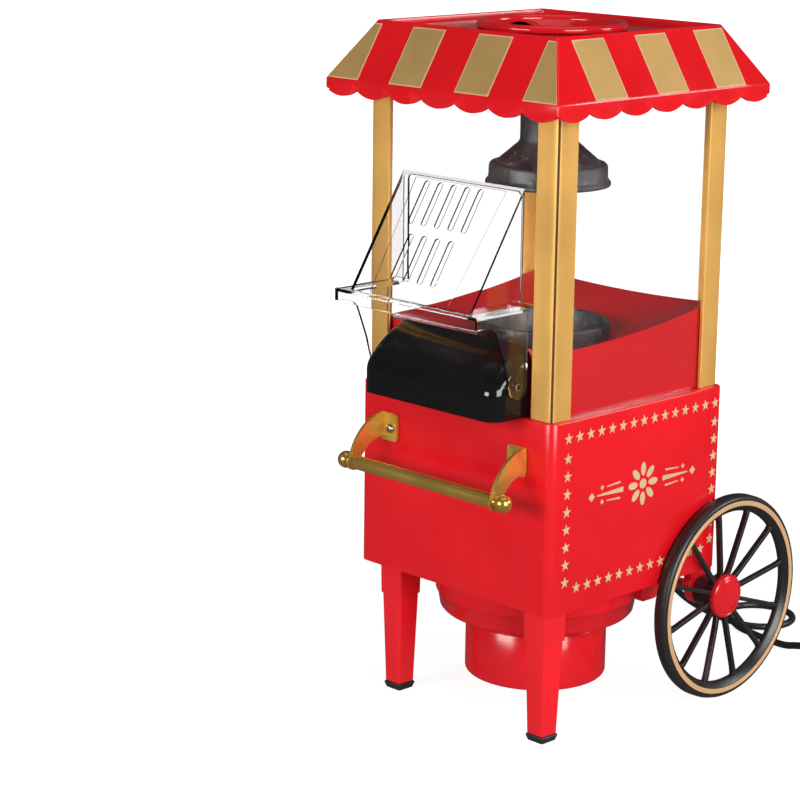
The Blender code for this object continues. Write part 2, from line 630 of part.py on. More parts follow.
def cord_routes():
    """Centre lines by hand: from the strain relief down to the coil, and from the coil to the plug."""
    x, y = COIL_AT
    z = CORD_R + 0.2
    down = [(RELIEF_X, BODY_Y + 33.5, RELIEF_Z), (RELIEF_X, 113, 97.7), (-46, 119, 95.5),
            (-49, 130, 85), (-57, 142, 62), (-66, 150, 36), (-76, 158, 15), (-87, 164.5, 5),
            (x + COIL_CLEAR, y - COIL_R, z)]
    away = math.radians(107)
    leave = (x + COIL_R * math.cos(away) + COIL_CLEAR * math.sin(away),
             y + COIL_R * math.sin(away) - COIL_CLEAR * math.cos(away), z)
    loop = [(lx, ly, z) for lx, ly in arc(10, 204, 22, -90, 200, 12)]
    across = [leave, (-94, 226, z), (-77, 219.5, z), (-61, 207, z), (-45, 197.5, z), (-29, 190.5, z),
              (-11, 185, z), *loop, (-8, 191, z + 2.6), (-3, 186, z + 4.9), (5, 180.5, z + 3.0),
              (16, 176, z + 0.4), (30, 173, z), (44, 171, z), (58, 168.5, z + 0.9), (68, 168, z + 3.2),
              (75, 168, PLUG_Z - 0.1), (PLUG_X - 1.5 * GAP, PLUG_Y, PLUG_Z)]
    return down, across


def smooth(points, spacing):
    """Points at an even spacing along a Catmull-Rom curve through the given ones."""
    ends = [points[0], *points, points[-1]]
    fine = []
    for a, b, c, d in zip(ends, ends[1:], ends[2:], ends[3:]):
        for step in range(24):
            t = step / 24
            fine.append([0.5 * (2 * q + (r - p) * t + (2 * p - 5 * q + 4 * r - s) * t * t
                                + (3 * q - p - 3 * r + s) * t ** 3) for p, q, r, s in zip(a, b, c, d)])
    fine.append(list(points[-1]))
    even, travelled = [fine[0]], 0.0
    for before, after in zip(fine, fine[1:]):
        travelled += math.dist(before, after)
        if travelled >= spacing:
            even.append(after)
            travelled = 0.0
    even.append(fine[-1])
    return even


def cord_tube(name, route, material):
    curve = bpy.data.curves.new(name, "CURVE")
    curve.dimensions = "3D"
    curve.bevel_depth = CORD_R * MM
    curve.bevel_resolution = 2
    curve.use_fill_caps = True
    points = smooth(route, 5.2 * CORD_R)
    spline = curve.splines.new("POLY")
    spline.points.add(len(points) - 1)
    for point, spot in zip(spline.points, points):
        point.co = (*[c * MM for c in spot], 1)
    return place(bpy.data.objects.new(name, curve), material)


def make_cord():
    black = make_material("cord_black", BLACK, 0.5)
    turned("strain_relief", [(0, 33.0), (3.2, 33.0), (4.2, 16), (5.0, 3.0), (7.0, 3.0), (7.0, 0.3),
                             (4.0, 0.3), (4.0, -6.0), (0, -6.0)], make_material("relief_black", BLACK, 0.5),
           at=(RELIEF_X, BODY_Y, RELIEF_Z), axis="Y", steps=20, ring=False)
    down, across = cord_routes()
    cord_tube("cord_run_down", down, black)
    cord_tube("cord_run_across", across, black)
    half = 2.1 * CORD_R
    turned("cord_coil", [(COIL_R + half, 2 * half), (COIL_R + half, 0), (COIL_R - half, 0),
                         (COIL_R - half, 2 * half)],
           make_material("coil_black", BLACK, 0.5), at=(*COIL_AT, 0.2), steps=32)
    outline = ([(PLUG_X, PLUG_Y - 4), (PLUG_X + 6, PLUG_Y - 4.5), (PLUG_X + 18, PLUG_Y - 14)]
               + arc(PLUG_X + 32, PLUG_Y - 13, 4, 270, 360, 4) + arc(PLUG_X + 32, PLUG_Y + 13, 4, 0, 90, 4)
               + [(PLUG_X + 18, PLUG_Y + 14), (PLUG_X + 6, PLUG_Y + 4.5), (PLUG_X, PLUG_Y + 4)])
    plug = solid("plug", plate(outline, PLUG_Z - 6.6, PLUG_Z + 6.6),
                 make_material("plug_black", BLACK, 0.45))
    for side in (-9.4, 9.4):
        join(plug, drum(2.0, PLUG_X + 34, PLUG_X + 55, at=(0, PLUG_Y + side, PLUG_Z), axis="X",
                        sides=16))


make_body()
make_base()
make_air_works()
make_hopper()
make_chute()
make_posts()
make_panels()
make_hood()
make_roof()
make_lid()
make_legs()
make_axle()
make_wheels()
make_handle()
make_switch()
make_cord()
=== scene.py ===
"""Looks of the tabletop popcorn cart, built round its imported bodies.

Shapes are drawn in millimetres in the cart's own frame (X right, Y back, Z up, body axis at X = Y = 0) and
moved into the row frame, in metres, when they become objects.
"""
import math

import bmesh
import bpy
from mathutils import Matrix, Vector


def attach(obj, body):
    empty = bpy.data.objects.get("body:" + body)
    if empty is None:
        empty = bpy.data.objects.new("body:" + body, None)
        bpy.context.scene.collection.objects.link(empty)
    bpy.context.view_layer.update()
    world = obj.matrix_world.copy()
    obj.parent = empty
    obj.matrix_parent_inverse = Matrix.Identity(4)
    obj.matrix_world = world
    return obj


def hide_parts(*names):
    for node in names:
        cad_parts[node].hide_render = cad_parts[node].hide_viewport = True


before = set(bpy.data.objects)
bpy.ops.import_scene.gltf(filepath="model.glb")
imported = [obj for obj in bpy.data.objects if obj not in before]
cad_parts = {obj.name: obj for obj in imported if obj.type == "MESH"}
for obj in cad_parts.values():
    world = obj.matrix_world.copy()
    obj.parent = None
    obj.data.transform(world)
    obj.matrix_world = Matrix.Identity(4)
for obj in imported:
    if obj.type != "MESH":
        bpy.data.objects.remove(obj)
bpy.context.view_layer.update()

MM = 0.001
CENTRE_Y = -12.65
BODY_X, BODY_Y, BODY_LOW, BODY_TOP = 75.3, 73.2, 79.5, 189.2
UNDER = 79.2
POST_X, POST_Y, POST_LEG, POST_WALL, GROOVE = 72.0, 71.0, 15.7, 2.2, 1.5
CAB_LOW, CAB_TOP = 189.5, 357.7
HOPPER_X, HOPPER_Y = 67.6, 66.7
CHUTE_X = 52.5
EAVE, EAVE_Z, RIM, RIM_Z, ROOF_Y, DECK_Z = 88.4, 363.4, 67.9, 396.0, -2.2, 392.5
AXLE_Y, AXLE_Z = 77.0, 61.5
WHEEL_X = 80.5
SPOKES, SPOKE_PHASE, SPOKE_LEAN = 12, 0.38, 0.0747
PIVOT_Y, PIVOT_Z = -79.5, 208.0
HANDLE_Y, HANDLE_Z, HANDLE_X = -97.0, 147.3, 56.8
LEG_X, LEG_Y = 57.7, -56.2
CORD_R, CORD_Z = 2.2, 2.4
RELIEF_X, RELIEF_Z = -45.0, 98.0
COIL_X, COIL_Y, COIL_R, COIL_CLEAR = -122.0, 192.0, 25.5, 20.4
PLUG_X, PLUG_Y, PLUG_Z = 80.0, 168.0, 6.8
SWITCH_X, SWITCH_Z = -30.0, 150.0
GAP = 0.3
SIDES = (("left", -1, "-X"), ("right", 1, "X"))


# ---------------------------------------------------------------- camera, light and floor

CAMERA_AT, CAMERA_LENS = (0.9203, -1.02485, 0.5099), 108.9
AZIMUTH, ELEVATION, ROLL = 45.73, 13.70, 0.74
LAMPS_AIM = (0, 0, 0.2)
LAMPS = (("key", (1.9, -0.4, 0.75), (1.1, 1.0), 36), ("fill", (-0.25, -2.1, 0.68), (1.1, 0.6), 28),
         ("top", (0.1, 0.1, 2.1), (1.4, 1.4), 5), ("rim", (1.55, 1.55, 1.0), (0.6, 0.6), 14))


def linked(name, data):
    item = bpy.data.objects.new(name, data)
    bpy.context.scene.collection.objects.link(item)
    return item


def from_shape(name, bm):
    """Object made from a drawn shape, which is used up."""
    mesh = bpy.data.meshes.new(name)
    bm.to_mesh(mesh)
    bm.free()
    return linked(name, mesh)


def make_camera():
    azimuth, elevation, roll = (math.radians(a) for a in (AZIMUTH, ELEVATION, ROLL))
    back = Vector((math.sin(azimuth) * math.cos(elevation), -math.cos(azimuth) * math.cos(elevation),
                   math.sin(elevation)))
    right = Vector((math.cos(azimuth), math.sin(azimuth), 0))
    up = back.cross(right)
    right, up = (right * math.cos(roll) + up * math.sin(roll),
                 up * math.cos(roll) - right * math.sin(roll))
    data = bpy.data.cameras.new("camera")
    data.lens = CAMERA_LENS
    camera = linked("camera", data)
    camera.matrix_world = Matrix.Translation(CAMERA_AT) @ Matrix((right, up, back)).transposed().to_4x4()
    bpy.context.scene.camera = camera


def make_lamps():
    for name, place, size, power in LAMPS:
        data = bpy.data.lights.new(name, "AREA")
        data.shape, data.size, data.size_y = "RECTANGLE", *size
        data.energy = power
        lamp = linked(name, data)
        lamp.location = place
        lamp.rotation_euler = (Vector(LAMPS_AIM) - Vector(place)).to_track_quat("-Z", "Y").to_euler()


def make_surroundings():
    bpy.context.scene.view_settings.view_transform = "Standard"
    world = bpy.data.worlds.new("studio")
    bpy.context.scene.world = world
    world.use_nodes = True
    tree = world.node_tree
    backdrop = tree.nodes["Background"].inputs
    backdrop["Color"].default_value = (1, 1, 1, 1)
    tree.links.new(backdrop_strength(tree, 1.25, 0.20, 0.08), backdrop["Strength"])


def make_floor():
    """Pale floor that brightens to plain white away from the cart."""
    bm = bmesh.new()
    bmesh.ops.create_grid(bm, x_segments=2, y_segments=2, size=30)
    floor = from_shape("floor", bm)
    material, tree, shader = new_material("floor", {"Roughness": 0.8, "Specular IOR Level": 0.0,
                                                    "Emission Color": (1, 1, 1, 1)})
    glossy = node(tree, "ShaderNodeLightPath").outputs["Is Glossy Ray"]
    tree.links.new(blended(tree, glossy, (0.24,) * 3, (0.06,) * 3), shader.inputs["Base Color"])
    away = node(tree, "ShaderNodeVectorMath", {0: node(tree, "ShaderNodeTexCoord").outputs["Object"]},
                operation="LENGTH").outputs["Value"]
    seen = spread(tree, away, 0.90, 1.3, 0.3, 0.9)
    tree.links.new(backdrop_strength(tree, seen, 0.46, 0.05), shader.inputs["Emission Strength"])
    floor.data.materials.append(material)
    floor.location.z = -0.0002


def backdrop_strength(tree, seen, lighting, mirrored):
    """How bright the pale surroundings are when seen (bare or through clear panes), as light, in gloss."""
    path = node(tree, "ShaderNodeLightPath").outputs
    bounces = maths(tree, "SUBTRACT", path["Ray Depth"], path["Transmission Depth"])
    direct = maths(tree, "MAXIMUM", maths(tree, "LESS_THAN", bounces, 0.5), path["Is Camera Ray"])
    as_light = spread(tree, path["Is Glossy Ray"], lighting, mirrored, 0, 1)
    return spread(tree, direct, as_light, seen, 0, 1)


# ---------------------------------------------------------------- materials

def new_material(name, values=None):
    """Material, its node tree and its shader, with plain values on some of the shader's sockets."""
    material = bpy.data.materials.new(name)
    material.use_nodes = True
    shader = material.node_tree.nodes["Principled BSDF"]
    for socket, value in (values or {}).items():
        shader.inputs[socket].default_value = value
    return material, material.node_tree, shader


def node(tree, kind, inputs=None, **settings):
    """Adds a node; an input's value is a number, a colour or another node's output socket."""
    made = tree.nodes.new(kind)
    for key, value in settings.items():
        setattr(made, key, value)
    for key, value in (inputs or {}).items():
        if isinstance(value, bpy.types.NodeSocket):
            tree.links.new(value, made.inputs[key])
        else:
            made.inputs[key].default_value = value
    return made


def noise(tree, scale, detail=3.0, stretch=(1, 1, 1), rough=0.5):
    """Noise over the piece in metres: scale is in features a metre."""
    place = node(tree, "ShaderNodeTexCoord").outputs["Object"]
    placed = node(tree, "ShaderNodeMapping", {"Vector": place, "Scale": stretch}).outputs["Vector"]
    return node(tree, "ShaderNodeTexNoise",
                {"Vector": placed, "Scale": scale, "Detail": detail, "Roughness": rough}).outputs["Fac"]


def spread(tree, value, low, high, start=0.3, end=0.7):
    return node(tree, "ShaderNodeMapRange", {"Value": value, "From Min": start, "From Max": end,
                                             "To Min": low, "To Max": high}).outputs["Result"]


def maths(tree, operation, a, b):
    return node(tree, "ShaderNodeMath", {0: a, 1: b}, operation=operation).outputs[0]


def shaded(colour, amount):
    return tuple(min(1, c * amount) for c in colour)


def blended(tree, fac, a, b):
    """Colour between two, each of them a plain colour or a node's output."""
    a, b = (c if isinstance(c, bpy.types.NodeSocket) else (*c, 1) for c in (a, b))
    return node(tree, "ShaderNodeMix", {0: fac, 6: a, 7: b}, data_type="RGBA").outputs[2]


def coated(tree, shader, base, rough, relief, strength, depth):
    """Feeds a surface its colour, its roughness and the relief of its bump, in metres deep."""
    tree.links.new(base, shader.inputs["Base Color"])
    tree.links.new(rough, shader.inputs["Roughness"])
    bump(tree, shader, relief, strength, depth)


def bump(tree, shader, relief, strength, depth):
    made = node(tree, "ShaderNodeBump", {"Height": relief, "Strength": strength, "Distance": depth})
    tree.links.new(made.outputs["Normal"], shader.inputs["Normal"])


# Mask of the pointy edges, found by pointiness, where a painted highlight is laid to stand in for gloss on
# rounded edges.
def painted_edge_highlight(tree, low=0.52, high=0.62):
    return spread(tree, node(tree, "ShaderNodeNewGeometry").outputs["Pointiness"], 0, 1, low, high)


def plastic(name, colour, rough, peel=0.05, marks=0.35, edge=None):
    """Moulded plastic: slight colour drift, fine moulding grain, handling marks in the gloss, and a painted
    highlight that makes pointy edges paler where an edge colour is given.
    """
    material, tree, shader = new_material(name)
    base = blended(tree, spread(tree, noise(tree, 14), 0, 1), shaded(colour, 0.9), shaded(colour, 1.1))
    specks = spread(tree, noise(tree, 420, 4), 0, 0.35, 0.62, 0.82)
    base = blended(tree, specks, base, shaded(colour, 0.86))
    if edge:
        base = blended(tree, painted_edge_highlight(tree), base, edge)
    smear = noise(tree, 55, 5, (1, 1, 0.35), 0.6)
    gloss = spread(tree, smear, rough * (1 - marks * 0.5), rough * (1 + marks))
    coated(tree, shader, base, gloss, noise(tree, 1500, 2), peel, 0.00012)
    return material


def metal(name, colour, rough, stretch, strength=0.06, scale=900, metallic=1.0):
    """Metal with fine drawn lines along the axis that stretch leaves short, dull patches, and a painted
    highlight that brightens its pointy edges.
    """
    material, tree, shader = new_material(name, {"Metallic": metallic})
    lines = noise(tree, scale, 3, stretch)
    patches = noise(tree, 26, 4)
    base = blended(tree, spread(tree, patches, 0, 1), shaded(colour, 0.8), colour)
    base = blended(tree, spread(tree, lines, 0, 0.30), base, shaded(colour, 0.72))
    # Painted highlight: pointy edges a quarter brighter than the metal.
    base = blended(tree, painted_edge_highlight(tree, 0.53, 0.66), base, shaded(colour, 1.25))
    dulled = maths(tree, "ADD", spread(tree, lines, rough * 0.85, rough * 1.2),
                   spread(tree, patches, -0.03, 0.07))
    coated(tree, shader, base, dulled, lines, strength, 0.00008)
    return material


def casting(name):
    """Dark mottled moulding of the bell and the pot's collar."""
    material, tree, shader = new_material(name)
    clouds = noise(tree, 60, 6, rough=0.65)
    veins = noise(tree, 150, 8, rough=0.75)
    base = blended(tree, spread(tree, clouds, 0, 1, 0.36, 0.66), (0.008, 0.0075, 0.008),
                   (0.055, 0.050, 0.053))
    base = blended(tree, spread(tree, veins, 0, 0.85, 0.54, 0.68), base, (0.22, 0.21, 0.215))
    coated(tree, shader, base, spread(tree, clouds, 0.30, 0.58), veins, 0.28, 0.0004)
    return material


def clear(name, tint=(0.985, 0.99, 0.99), marks=0.02, gloss=0.2):
    """Clear plastic that lets lamps and soft light through, with faint rub marks in its gloss."""
    material, tree, shader = new_material(name, {"Base Color": (*tint, 1), "Transmission Weight": 1.0,
                                                 "IOR": 1.46, "Specular IOR Level": gloss})
    tree.links.new(spread(tree, noise(tree, 90, 5, (1, 1, 0.4)), 0.0, marks, 0.45, 0.75),
                   shader.inputs["Roughness"])
    bump(tree, shader, noise(tree, 60, 2), 0.02, 0.0002)
    through = node(tree, "ShaderNodeBsdfTransparent", {"Color": (0.96, 0.965, 0.965, 1)})
    path = node(tree, "ShaderNodeLightPath").outputs
    lit = maths(tree, "MAXIMUM", path["Is Shadow Ray"], path["Is Diffuse Ray"])
    mix = node(tree, "ShaderNodeMixShader", {0: lit, 1: shader.outputs["BSDF"], 2: through.outputs["BSDF"]})
    tree.links.new(mix.outputs["Shader"], tree.nodes["Material Output"].inputs["Surface"])
    return material


def rubber(name, colour=(0.018, 0.018, 0.019), rough=0.5):
    material, tree, shader = new_material(name)
    dust = spread(tree, noise(tree, 120, 5), 0, 0.5, 0.5, 0.8)
    coated(tree, shader, blended(tree, dust, colour, shaded(colour, 2.6)),
           spread(tree, noise(tree, 300, 3), rough * 0.85, rough * 1.15), noise(tree, 2400, 2), 0.18, 0.0001)
    return material


def foil(name, colour, metallic, rough):
    """Printed or stuck-on gold foil with fine speckle and faint clouds."""
    material, tree, shader = new_material(name, {"Metallic": metallic})
    speck = noise(tree, 1600, 3, rough=0.7)
    base = blended(tree, spread(tree, noise(tree, 40, 4), 0, 1), shaded(colour, 0.86), colour)
    base = blended(tree, spread(tree, speck, 0, 0.5, 0.5, 0.8), base, shaded(colour, 0.66))
    coated(tree, shader, base, spread(tree, speck, rough * 0.85, rough * 1.2), speck, 0.10, 0.00008)
    return material


RED = (0.64, 0.005, 0.010)
# Paler red painted on pointy edges as a highlight.
EDGE_HIGHLIGHT_RED = (0.68, 0.012, 0.018)
BRASS = (0.84, 0.52, 0.11)
STEEL = (0.62, 0.62, 0.64)
M = {}


def make_materials():
    # The edge colours given to these plastics, the wheel's and the black's too, are painted highlights on
    # their pointy edges.
    M["body"] = plastic("body_red", RED, 0.20, edge=EDGE_HIGHLIGHT_RED)
    M["roof"] = plastic("roof_red", (0.58, 0.004, 0.008), 0.19, edge=EDGE_HIGHLIGHT_RED)
    M["base"] = plastic("base_red", (0.60, 0.008, 0.014), 0.16, 0.03)
    M["leg"] = plastic("leg_red", (0.72, 0.010, 0.018), 0.20, edge=EDGE_HIGHLIGHT_RED)
    M["hopper"] = plastic("hopper_red", (0.56, 0.005, 0.010), 0.17, 0.015, 0.25, EDGE_HIGHLIGHT_RED)
    M["lid"] = plastic("lid_red", (0.56, 0.006, 0.012), 0.14, 0.03, edge=EDGE_HIGHLIGHT_RED)
    M["cap"] = plastic("cap_red", (0.60, 0.010, 0.018), 0.14, 0.04, edge=EDGE_HIGHLIGHT_RED)
    M["gloss"] = plastic("gloss_black", (0.004, 0.004, 0.0045), 0.09, 0.005, 0.3)
    M["wheel"] = plastic("wheel_black", (0.016, 0.013, 0.013), 0.30, 0.06, 0.5, (0.05, 0.046, 0.046))
    M["black"] = plastic("moulded_black", (0.016, 0.016, 0.017), 0.42, 0.25, edge=(0.04, 0.04, 0.042))
    M["rubber"] = rubber("pad_rubber")
    M["cord"] = rubber("cord_sheath", (0.014, 0.014, 0.015), 0.38)
    M["post"] = metal("post_gold", (0.82, 0.45, 0.115), 0.38, (1, 1, 0.006), 0.012, 2600, 0.55)
    # Dark strip lining each post's corner notch, darker than the gold around it.
    M["dark_groove_strip"] = foil("post_dark_groove_strip", (0.085, 0.035, 0.010), 0.2, 0.5)
    M["rod"] = metal("rod_brass", BRASS, 0.20, (0.012, 1, 1), 0.015, 1800, 0.85)
    M["bracket"] = metal("bracket_brass", BRASS, 0.30, (1, 0.3, 1), 0.02, 1200, 0.8)
    M["ball"] = metal("ball_brass", BRASS, 0.20, (1, 1, 1), 0.01, 600, 0.85)
    M["steel"] = metal("screw_steel", STEEL, 0.22, (1, 1, 1), 0.04, 600)
    M["axle"] = metal("axle_steel", STEEL, 0.25, (0.02, 1, 1))
    M["inner"] = metal("inner_metal", (0.66, 0.66, 0.67), 0.30, (1, 1, 0.03), scale=600)
    M["cast"] = casting("dark_casting")
    M["panel"] = clear("panel_clear")
    M["hood"] = clear("hood_clear", (0.98, 0.975, 0.985), 0.03, 0.5)
    M["stripe"] = foil("stripe_gold", (0.74, 0.47, 0.165), 0.7, 0.46)
    M["stripe_edge"] = foil("stripe_edge_gold", (0.84, 0.62, 0.34), 0.4, 0.32)
    M["print"] = foil("print_gold", (0.70, 0.50, 0.29), 0.15, 0.42)
    M["copper"] = foil("copper_line", (0.78, 0.46, 0.24), 0.3, 0.38)


# ---------------------------------------------------------------- drawing

ROW = Matrix.Scale(MM, 4) @ Matrix.Translation((0, CENTRE_Y, 0))
PLANES = {
    "XY": Matrix(((1, 0, 0, 0), (0, 1, 0, 0), (0, 0, 1, 0), (0, 0, 0, 1))),
    "YZ": Matrix(((0, 0, 1, 0), (1, 0, 0, 0), (0, 1, 0, 0), (0, 0, 0, 1))),
    "XZ": Matrix(((1, 0, 0, 0), (0, 0, 1, 0), (0, 1, 0, 0), (0, 0, 0, 1))),
}
AXES = {
    "Z": Matrix(),
    "X": Matrix.Rotation(math.pi / 2, 4, "Y"),
    "-X": Matrix.Rotation(-math.pi / 2, 4, "Y"),
    "Y": Matrix.Rotation(-math.pi / 2, 4, "X"),
    "-Y": Matrix.Rotation(math.pi / 2, 4, "X"),
}


def arc(cx, cy, radius, start, end, steps):
    angles = [math.radians(start + (end - start) * i / steps) for i in range(steps + 1)]
    return [(cx + radius * math.cos(a), cy + radius * math.sin(a)) for a in angles]


def rounded(points, radius, steps=4):
    """Outline with each corner replaced by an arc; a point may be (x, y, its own radius)."""
    out = []
    count = len(points)
    for i, point in enumerate(points):
        here = Vector(point[:2])
        to_last = Vector(points[i - 1][:2]) - here
        to_next = Vector(points[(i + 1) % count][:2]) - here
        wanted = point[2] if len(point) > 2 else radius
        angle = to_last.angle(to_next, math.pi)
        if wanted <= 0 or angle > math.radians(176):
            out.append(tuple(here))
            continue
        reach = min(wanted / math.tan(angle / 2), to_last.length * 0.48, to_next.length * 0.48)
        start, end = here + to_last.normalized() * reach, here + to_next.normalized() * reach
        for k in range(steps + 1):
            t = k / steps
            out.append(tuple(start * (1 - t) ** 2 + here * 2 * t * (1 - t) + end * t * t))
    return out


def face_out(bm):
    bmesh.ops.recalc_face_normals(bm, faces=bm.faces)
    if bm.calc_volume(signed=True) < 0:
        bmesh.ops.reverse_faces(bm, faces=bm.faces)
    return bm


def skin(bm, rows, closed=False):
    """Faces between rows of points that each close on themselves; closed joins the last row to the first."""
    for low, high in zip(rows, rows[1:] + rows[:1] if closed else rows[1:]):
        for i in range(len(low)):
            j = (i + 1) % len(low)
            corners = list(dict.fromkeys((low[i], low[j], high[j], high[i])))
            if len(corners) > 2:
                bm.faces.new(corners)


def loft(rings, closed=False):
    """Skin over rings of equal numbers of points, with flat ends unless it is closed."""
    bm = bmesh.new()
    rows = [[bm.verts.new(p) for p in ring] for ring in rings]
    skin(bm, rows, closed)
    if not closed:
        bm.faces.new(rows[0])
        bm.faces.new(rows[-1])
    return face_out(bm)


def rect_ring(hx, hy, radius, z, corner=5, side=6, at=(0, 0)):
    """Rounded rectangle with points along its sides too, anticlockwise from the +X, +Y corner."""
    radius = max(radius, 0.02)
    points = []
    corners = ((1, 1, 0), (-1, 1, 90), (-1, -1, 180), (1, -1, 270))
    for k, (sx, sy, start) in enumerate(corners):
        bend = arc(sx * (hx - radius), sy * (hy - radius), radius, start, start + 90, corner)
        points += bend
        nx, ny, nstart = corners[(k + 1) % 4]
        target = arc(nx * (hx - radius), ny * (hy - radius), radius, nstart, nstart + 90, corner)[0]
        for i in range(1, side):
            t = i / side
            points.append((bend[-1][0] * (1 - t) + target[0] * t, bend[-1][1] * (1 - t) + target[1] * t))
    return [(x + at[0], y + at[1], z) for x, y in points]


def round_ring(radius, z, like):
    """Circle whose points lie at the same bearings as another ring's."""
    return [(radius * x / math.hypot(x, y), radius * y / math.hypot(x, y), z) for x, y, _ in like]


def lathe(profile, at=(0, 0, 0), axis="Z", steps=96):
    """Turned solid from (radius, height) points: an outline of its own, or a line from axis to axis."""
    bm = bmesh.new()
    rows = []
    for r, z in profile:
        if r < 1e-6:
            rows.append([bm.verts.new((0, 0, z))] * steps)
        else:
            rows.append([bm.verts.new((r * math.cos(a), r * math.sin(a), z))
                         for a in (math.tau * k / steps for k in range(steps))])
    skin(bm, rows, closed=profile[0][0] > 0)
    return moved(bm, Matrix.Translation(at) @ AXES[axis])


def pole(radius, low, high, at=(0, 0, 0), axis="Z", steps=96):
    return lathe([(0, low), (radius, low), (radius, high), (0, high)], at, axis, steps)


def prism(outline, low, high, plane="XY"):
    bm = bmesh.new()
    rows = [[bm.verts.new((u, v, w)) for u, v in outline] for w in (low, high)]
    skin(bm, rows)
    bm.faces.new(rows[0])
    bm.faces.new(rows[1])
    return moved(bm, PLANES[plane])


def mirrored(sign, a, b):
    """A span of coordinates on the side that the sign says, lowest first."""
    return sorted((sign * a, sign * b))


def bar(x, y, z):
    return prism([(x[0], y[0]), (x[1], y[0]), (x[1], y[1]), (x[0], y[1])], z[0], z[1])


def box_outline(x, y, half_x, half_y):
    return [(x + u * half_x, y + v * half_y) for u, v in ((-1, -1), (1, -1), (1, 1), (-1, 1))]


def moved(bm, matrix):
    bm.transform(matrix)
    return face_out(bm)


def turned(angle, axis="Z"):
    return Matrix.Rotation(angle, 4, axis)


def spun_bars(count, x, y, z):
    """Bars spaced evenly about the cart's axis, as one shape."""
    return together(*(moved(bar(x, y, z), turned(math.tau * k / count)) for k in range(count)))


def together(*parts):
    whole = bmesh.new()
    for bm in parts:
        mesh = bpy.data.meshes.new("part")
        bm.to_mesh(mesh)
        bm.free()
        whole.from_mesh(mesh)
        bpy.data.meshes.remove(mesh)
    return whole


def carve(bm, *tools, operation="DIFFERENCE"):
    """Boolean of the shape with each tool in turn, done at once."""
    for tool in tools:
        pair = [from_shape("shape", shape) for shape in (bm, tool)]
        step = pair[0].modifiers.new("cut", "BOOLEAN")
        step.operation, step.solver, step.object = operation, "EXACT", pair[1]
        depsgraph = bpy.context.evaluated_depsgraph_get()
        mesh = bpy.data.meshes.new_from_object(pair[0].evaluated_get(depsgraph))
        bm = bmesh.new()
        bm.from_mesh(mesh)
        bpy.data.meshes.remove(mesh)
        for item in pair:
            old = item.data
            bpy.data.objects.remove(item, do_unlink=True)
            bpy.data.meshes.remove(old)
    bmesh.ops.remove_doubles(bm, verts=bm.verts, dist=1e-4)
    return bm


def fuse(bm, *tools):
    return carve(bm, *tools, operation="UNION")


def piece(name, bm, look, replaces=(), body="cart", bevel=0.0, segments=2, sharp=35, angle=40):
    """Object from a shape drawn in the cart's frame; it rides on a body and stands for CAD nodes."""
    bm.transform(ROW)
    item = from_shape(name, bm)
    item.data.materials.append(M[look])
    item.data.shade_smooth()
    item.data.set_sharp_from_angle(angle=math.radians(sharp))
    if bevel:
        step = item.modifiers.new("edges", "BEVEL")
        step.width, step.segments = bevel * MM, segments
        step.limit_method, step.angle_limit = "ANGLE", math.radians(angle)
        step.harden_normals = True
        step.use_clamp_overlap = True
    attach(item, body)
    if replaces:
        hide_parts(*replaces)
    return item


# ---------------------------------------------------------------- lower body

def make_body():
    def ring(z, inset):
        return rect_ring(BODY_X - inset, BODY_Y - inset, max(5.5 - inset, 1.0), z)

    wall, lip, hole = 2.5, 9.0, 50
    rings = [ring(z, inset) for z, inset in (
        (BODY_LOW, 1.0), (BODY_LOW + 0.3, 0.3), (BODY_LOW + 1.0, 0.0), (110, 0.0), (150, 0.0),
        (BODY_TOP - 1.0, 0.0), (BODY_TOP - 0.3, 0.3), (BODY_TOP, 1.0), (BODY_TOP, lip),
        (BODY_TOP - wall, lip), (BODY_TOP - wall, wall), (BODY_LOW + wall, wall))]
    rings += [round_ring(hole, z, rings[0]) for z in (BODY_LOW + wall, BODY_LOW)]
    body = carve(
        loft(rings, closed=True),
        bar((SWITCH_X - 9.8, SWITCH_X + 9.8), (BODY_Y - 4, BODY_Y + 1), (SWITCH_Z - 6.8, SWITCH_Z + 6.8)),
        pole(4.4, -6, 6, (RELIEF_X, BODY_Y - 1, RELIEF_Z), "Y", 40),
    )
    piece("body", body, "body", ["body_shell"])


def star(radius, turn):
    points = []
    for k in range(10):
        reach = radius if k % 2 == 0 else radius * 0.40
        a = math.pi / 2 + turn + math.pi * k / 5
        points.append((reach * math.cos(a), reach * math.sin(a)))
    return points


def border_spots():
    """Centres (y, z) of the stars round a side panel's edge."""
    y0, y1, top, low = -60.3, 65.6, 179.8, 93.4
    spots = [(y0 + (y1 - y0) * k / 14, top) for k in range(15)]
    spots += [(y, top - 1.2 - 10.08 * k) for y in (y0, y1) for k in range(1, 9)]
    spots += [(y0 + 9.0 * k + 0.7, low) for k in range(1, 14)]
    return spots


def lozenge(cy, cz, half):
    return [(cy - half, cz), (cy, cz - half), (cy + half, cz), (cy, cz + half)]


def ring_of_petals(cy, cz, count, inner, outer, width):
    petals = []
    half = (outer - inner) / 2
    for k in range(count):
        a = math.tau * k / count
        along, across = Vector((math.cos(a), math.sin(a))), Vector((-math.sin(a), math.cos(a)))
        middle = Vector((cy, cz)) + along * (inner + outer) / 2
        petals.append([tuple(middle + along * half * math.cos(t) + across * width * math.sin(t))
                       for t in (math.tau * i / 14 for i in range(14))])
    return petals


ROSETTE_Y, ROSETTE_Z = 3.5, 143.0
TAPERING_BARS = (((17.0, -1.5), (39.0, -0.35), (39.0, 0.35), (17.0, 1.5)),
                 ((19.5, 4.0), (31.0, 3.7), (31.0, 4.3), (19.5, 5.2)),
                 ((19.5, -4.0), (31.0, -3.7), (31.0, -4.3), (19.5, -5.2)))
LOZENGES = ((43.5, 0.0, 2.6), (34.8, 4.1, 1.5), (34.8, -4.1, 1.5))


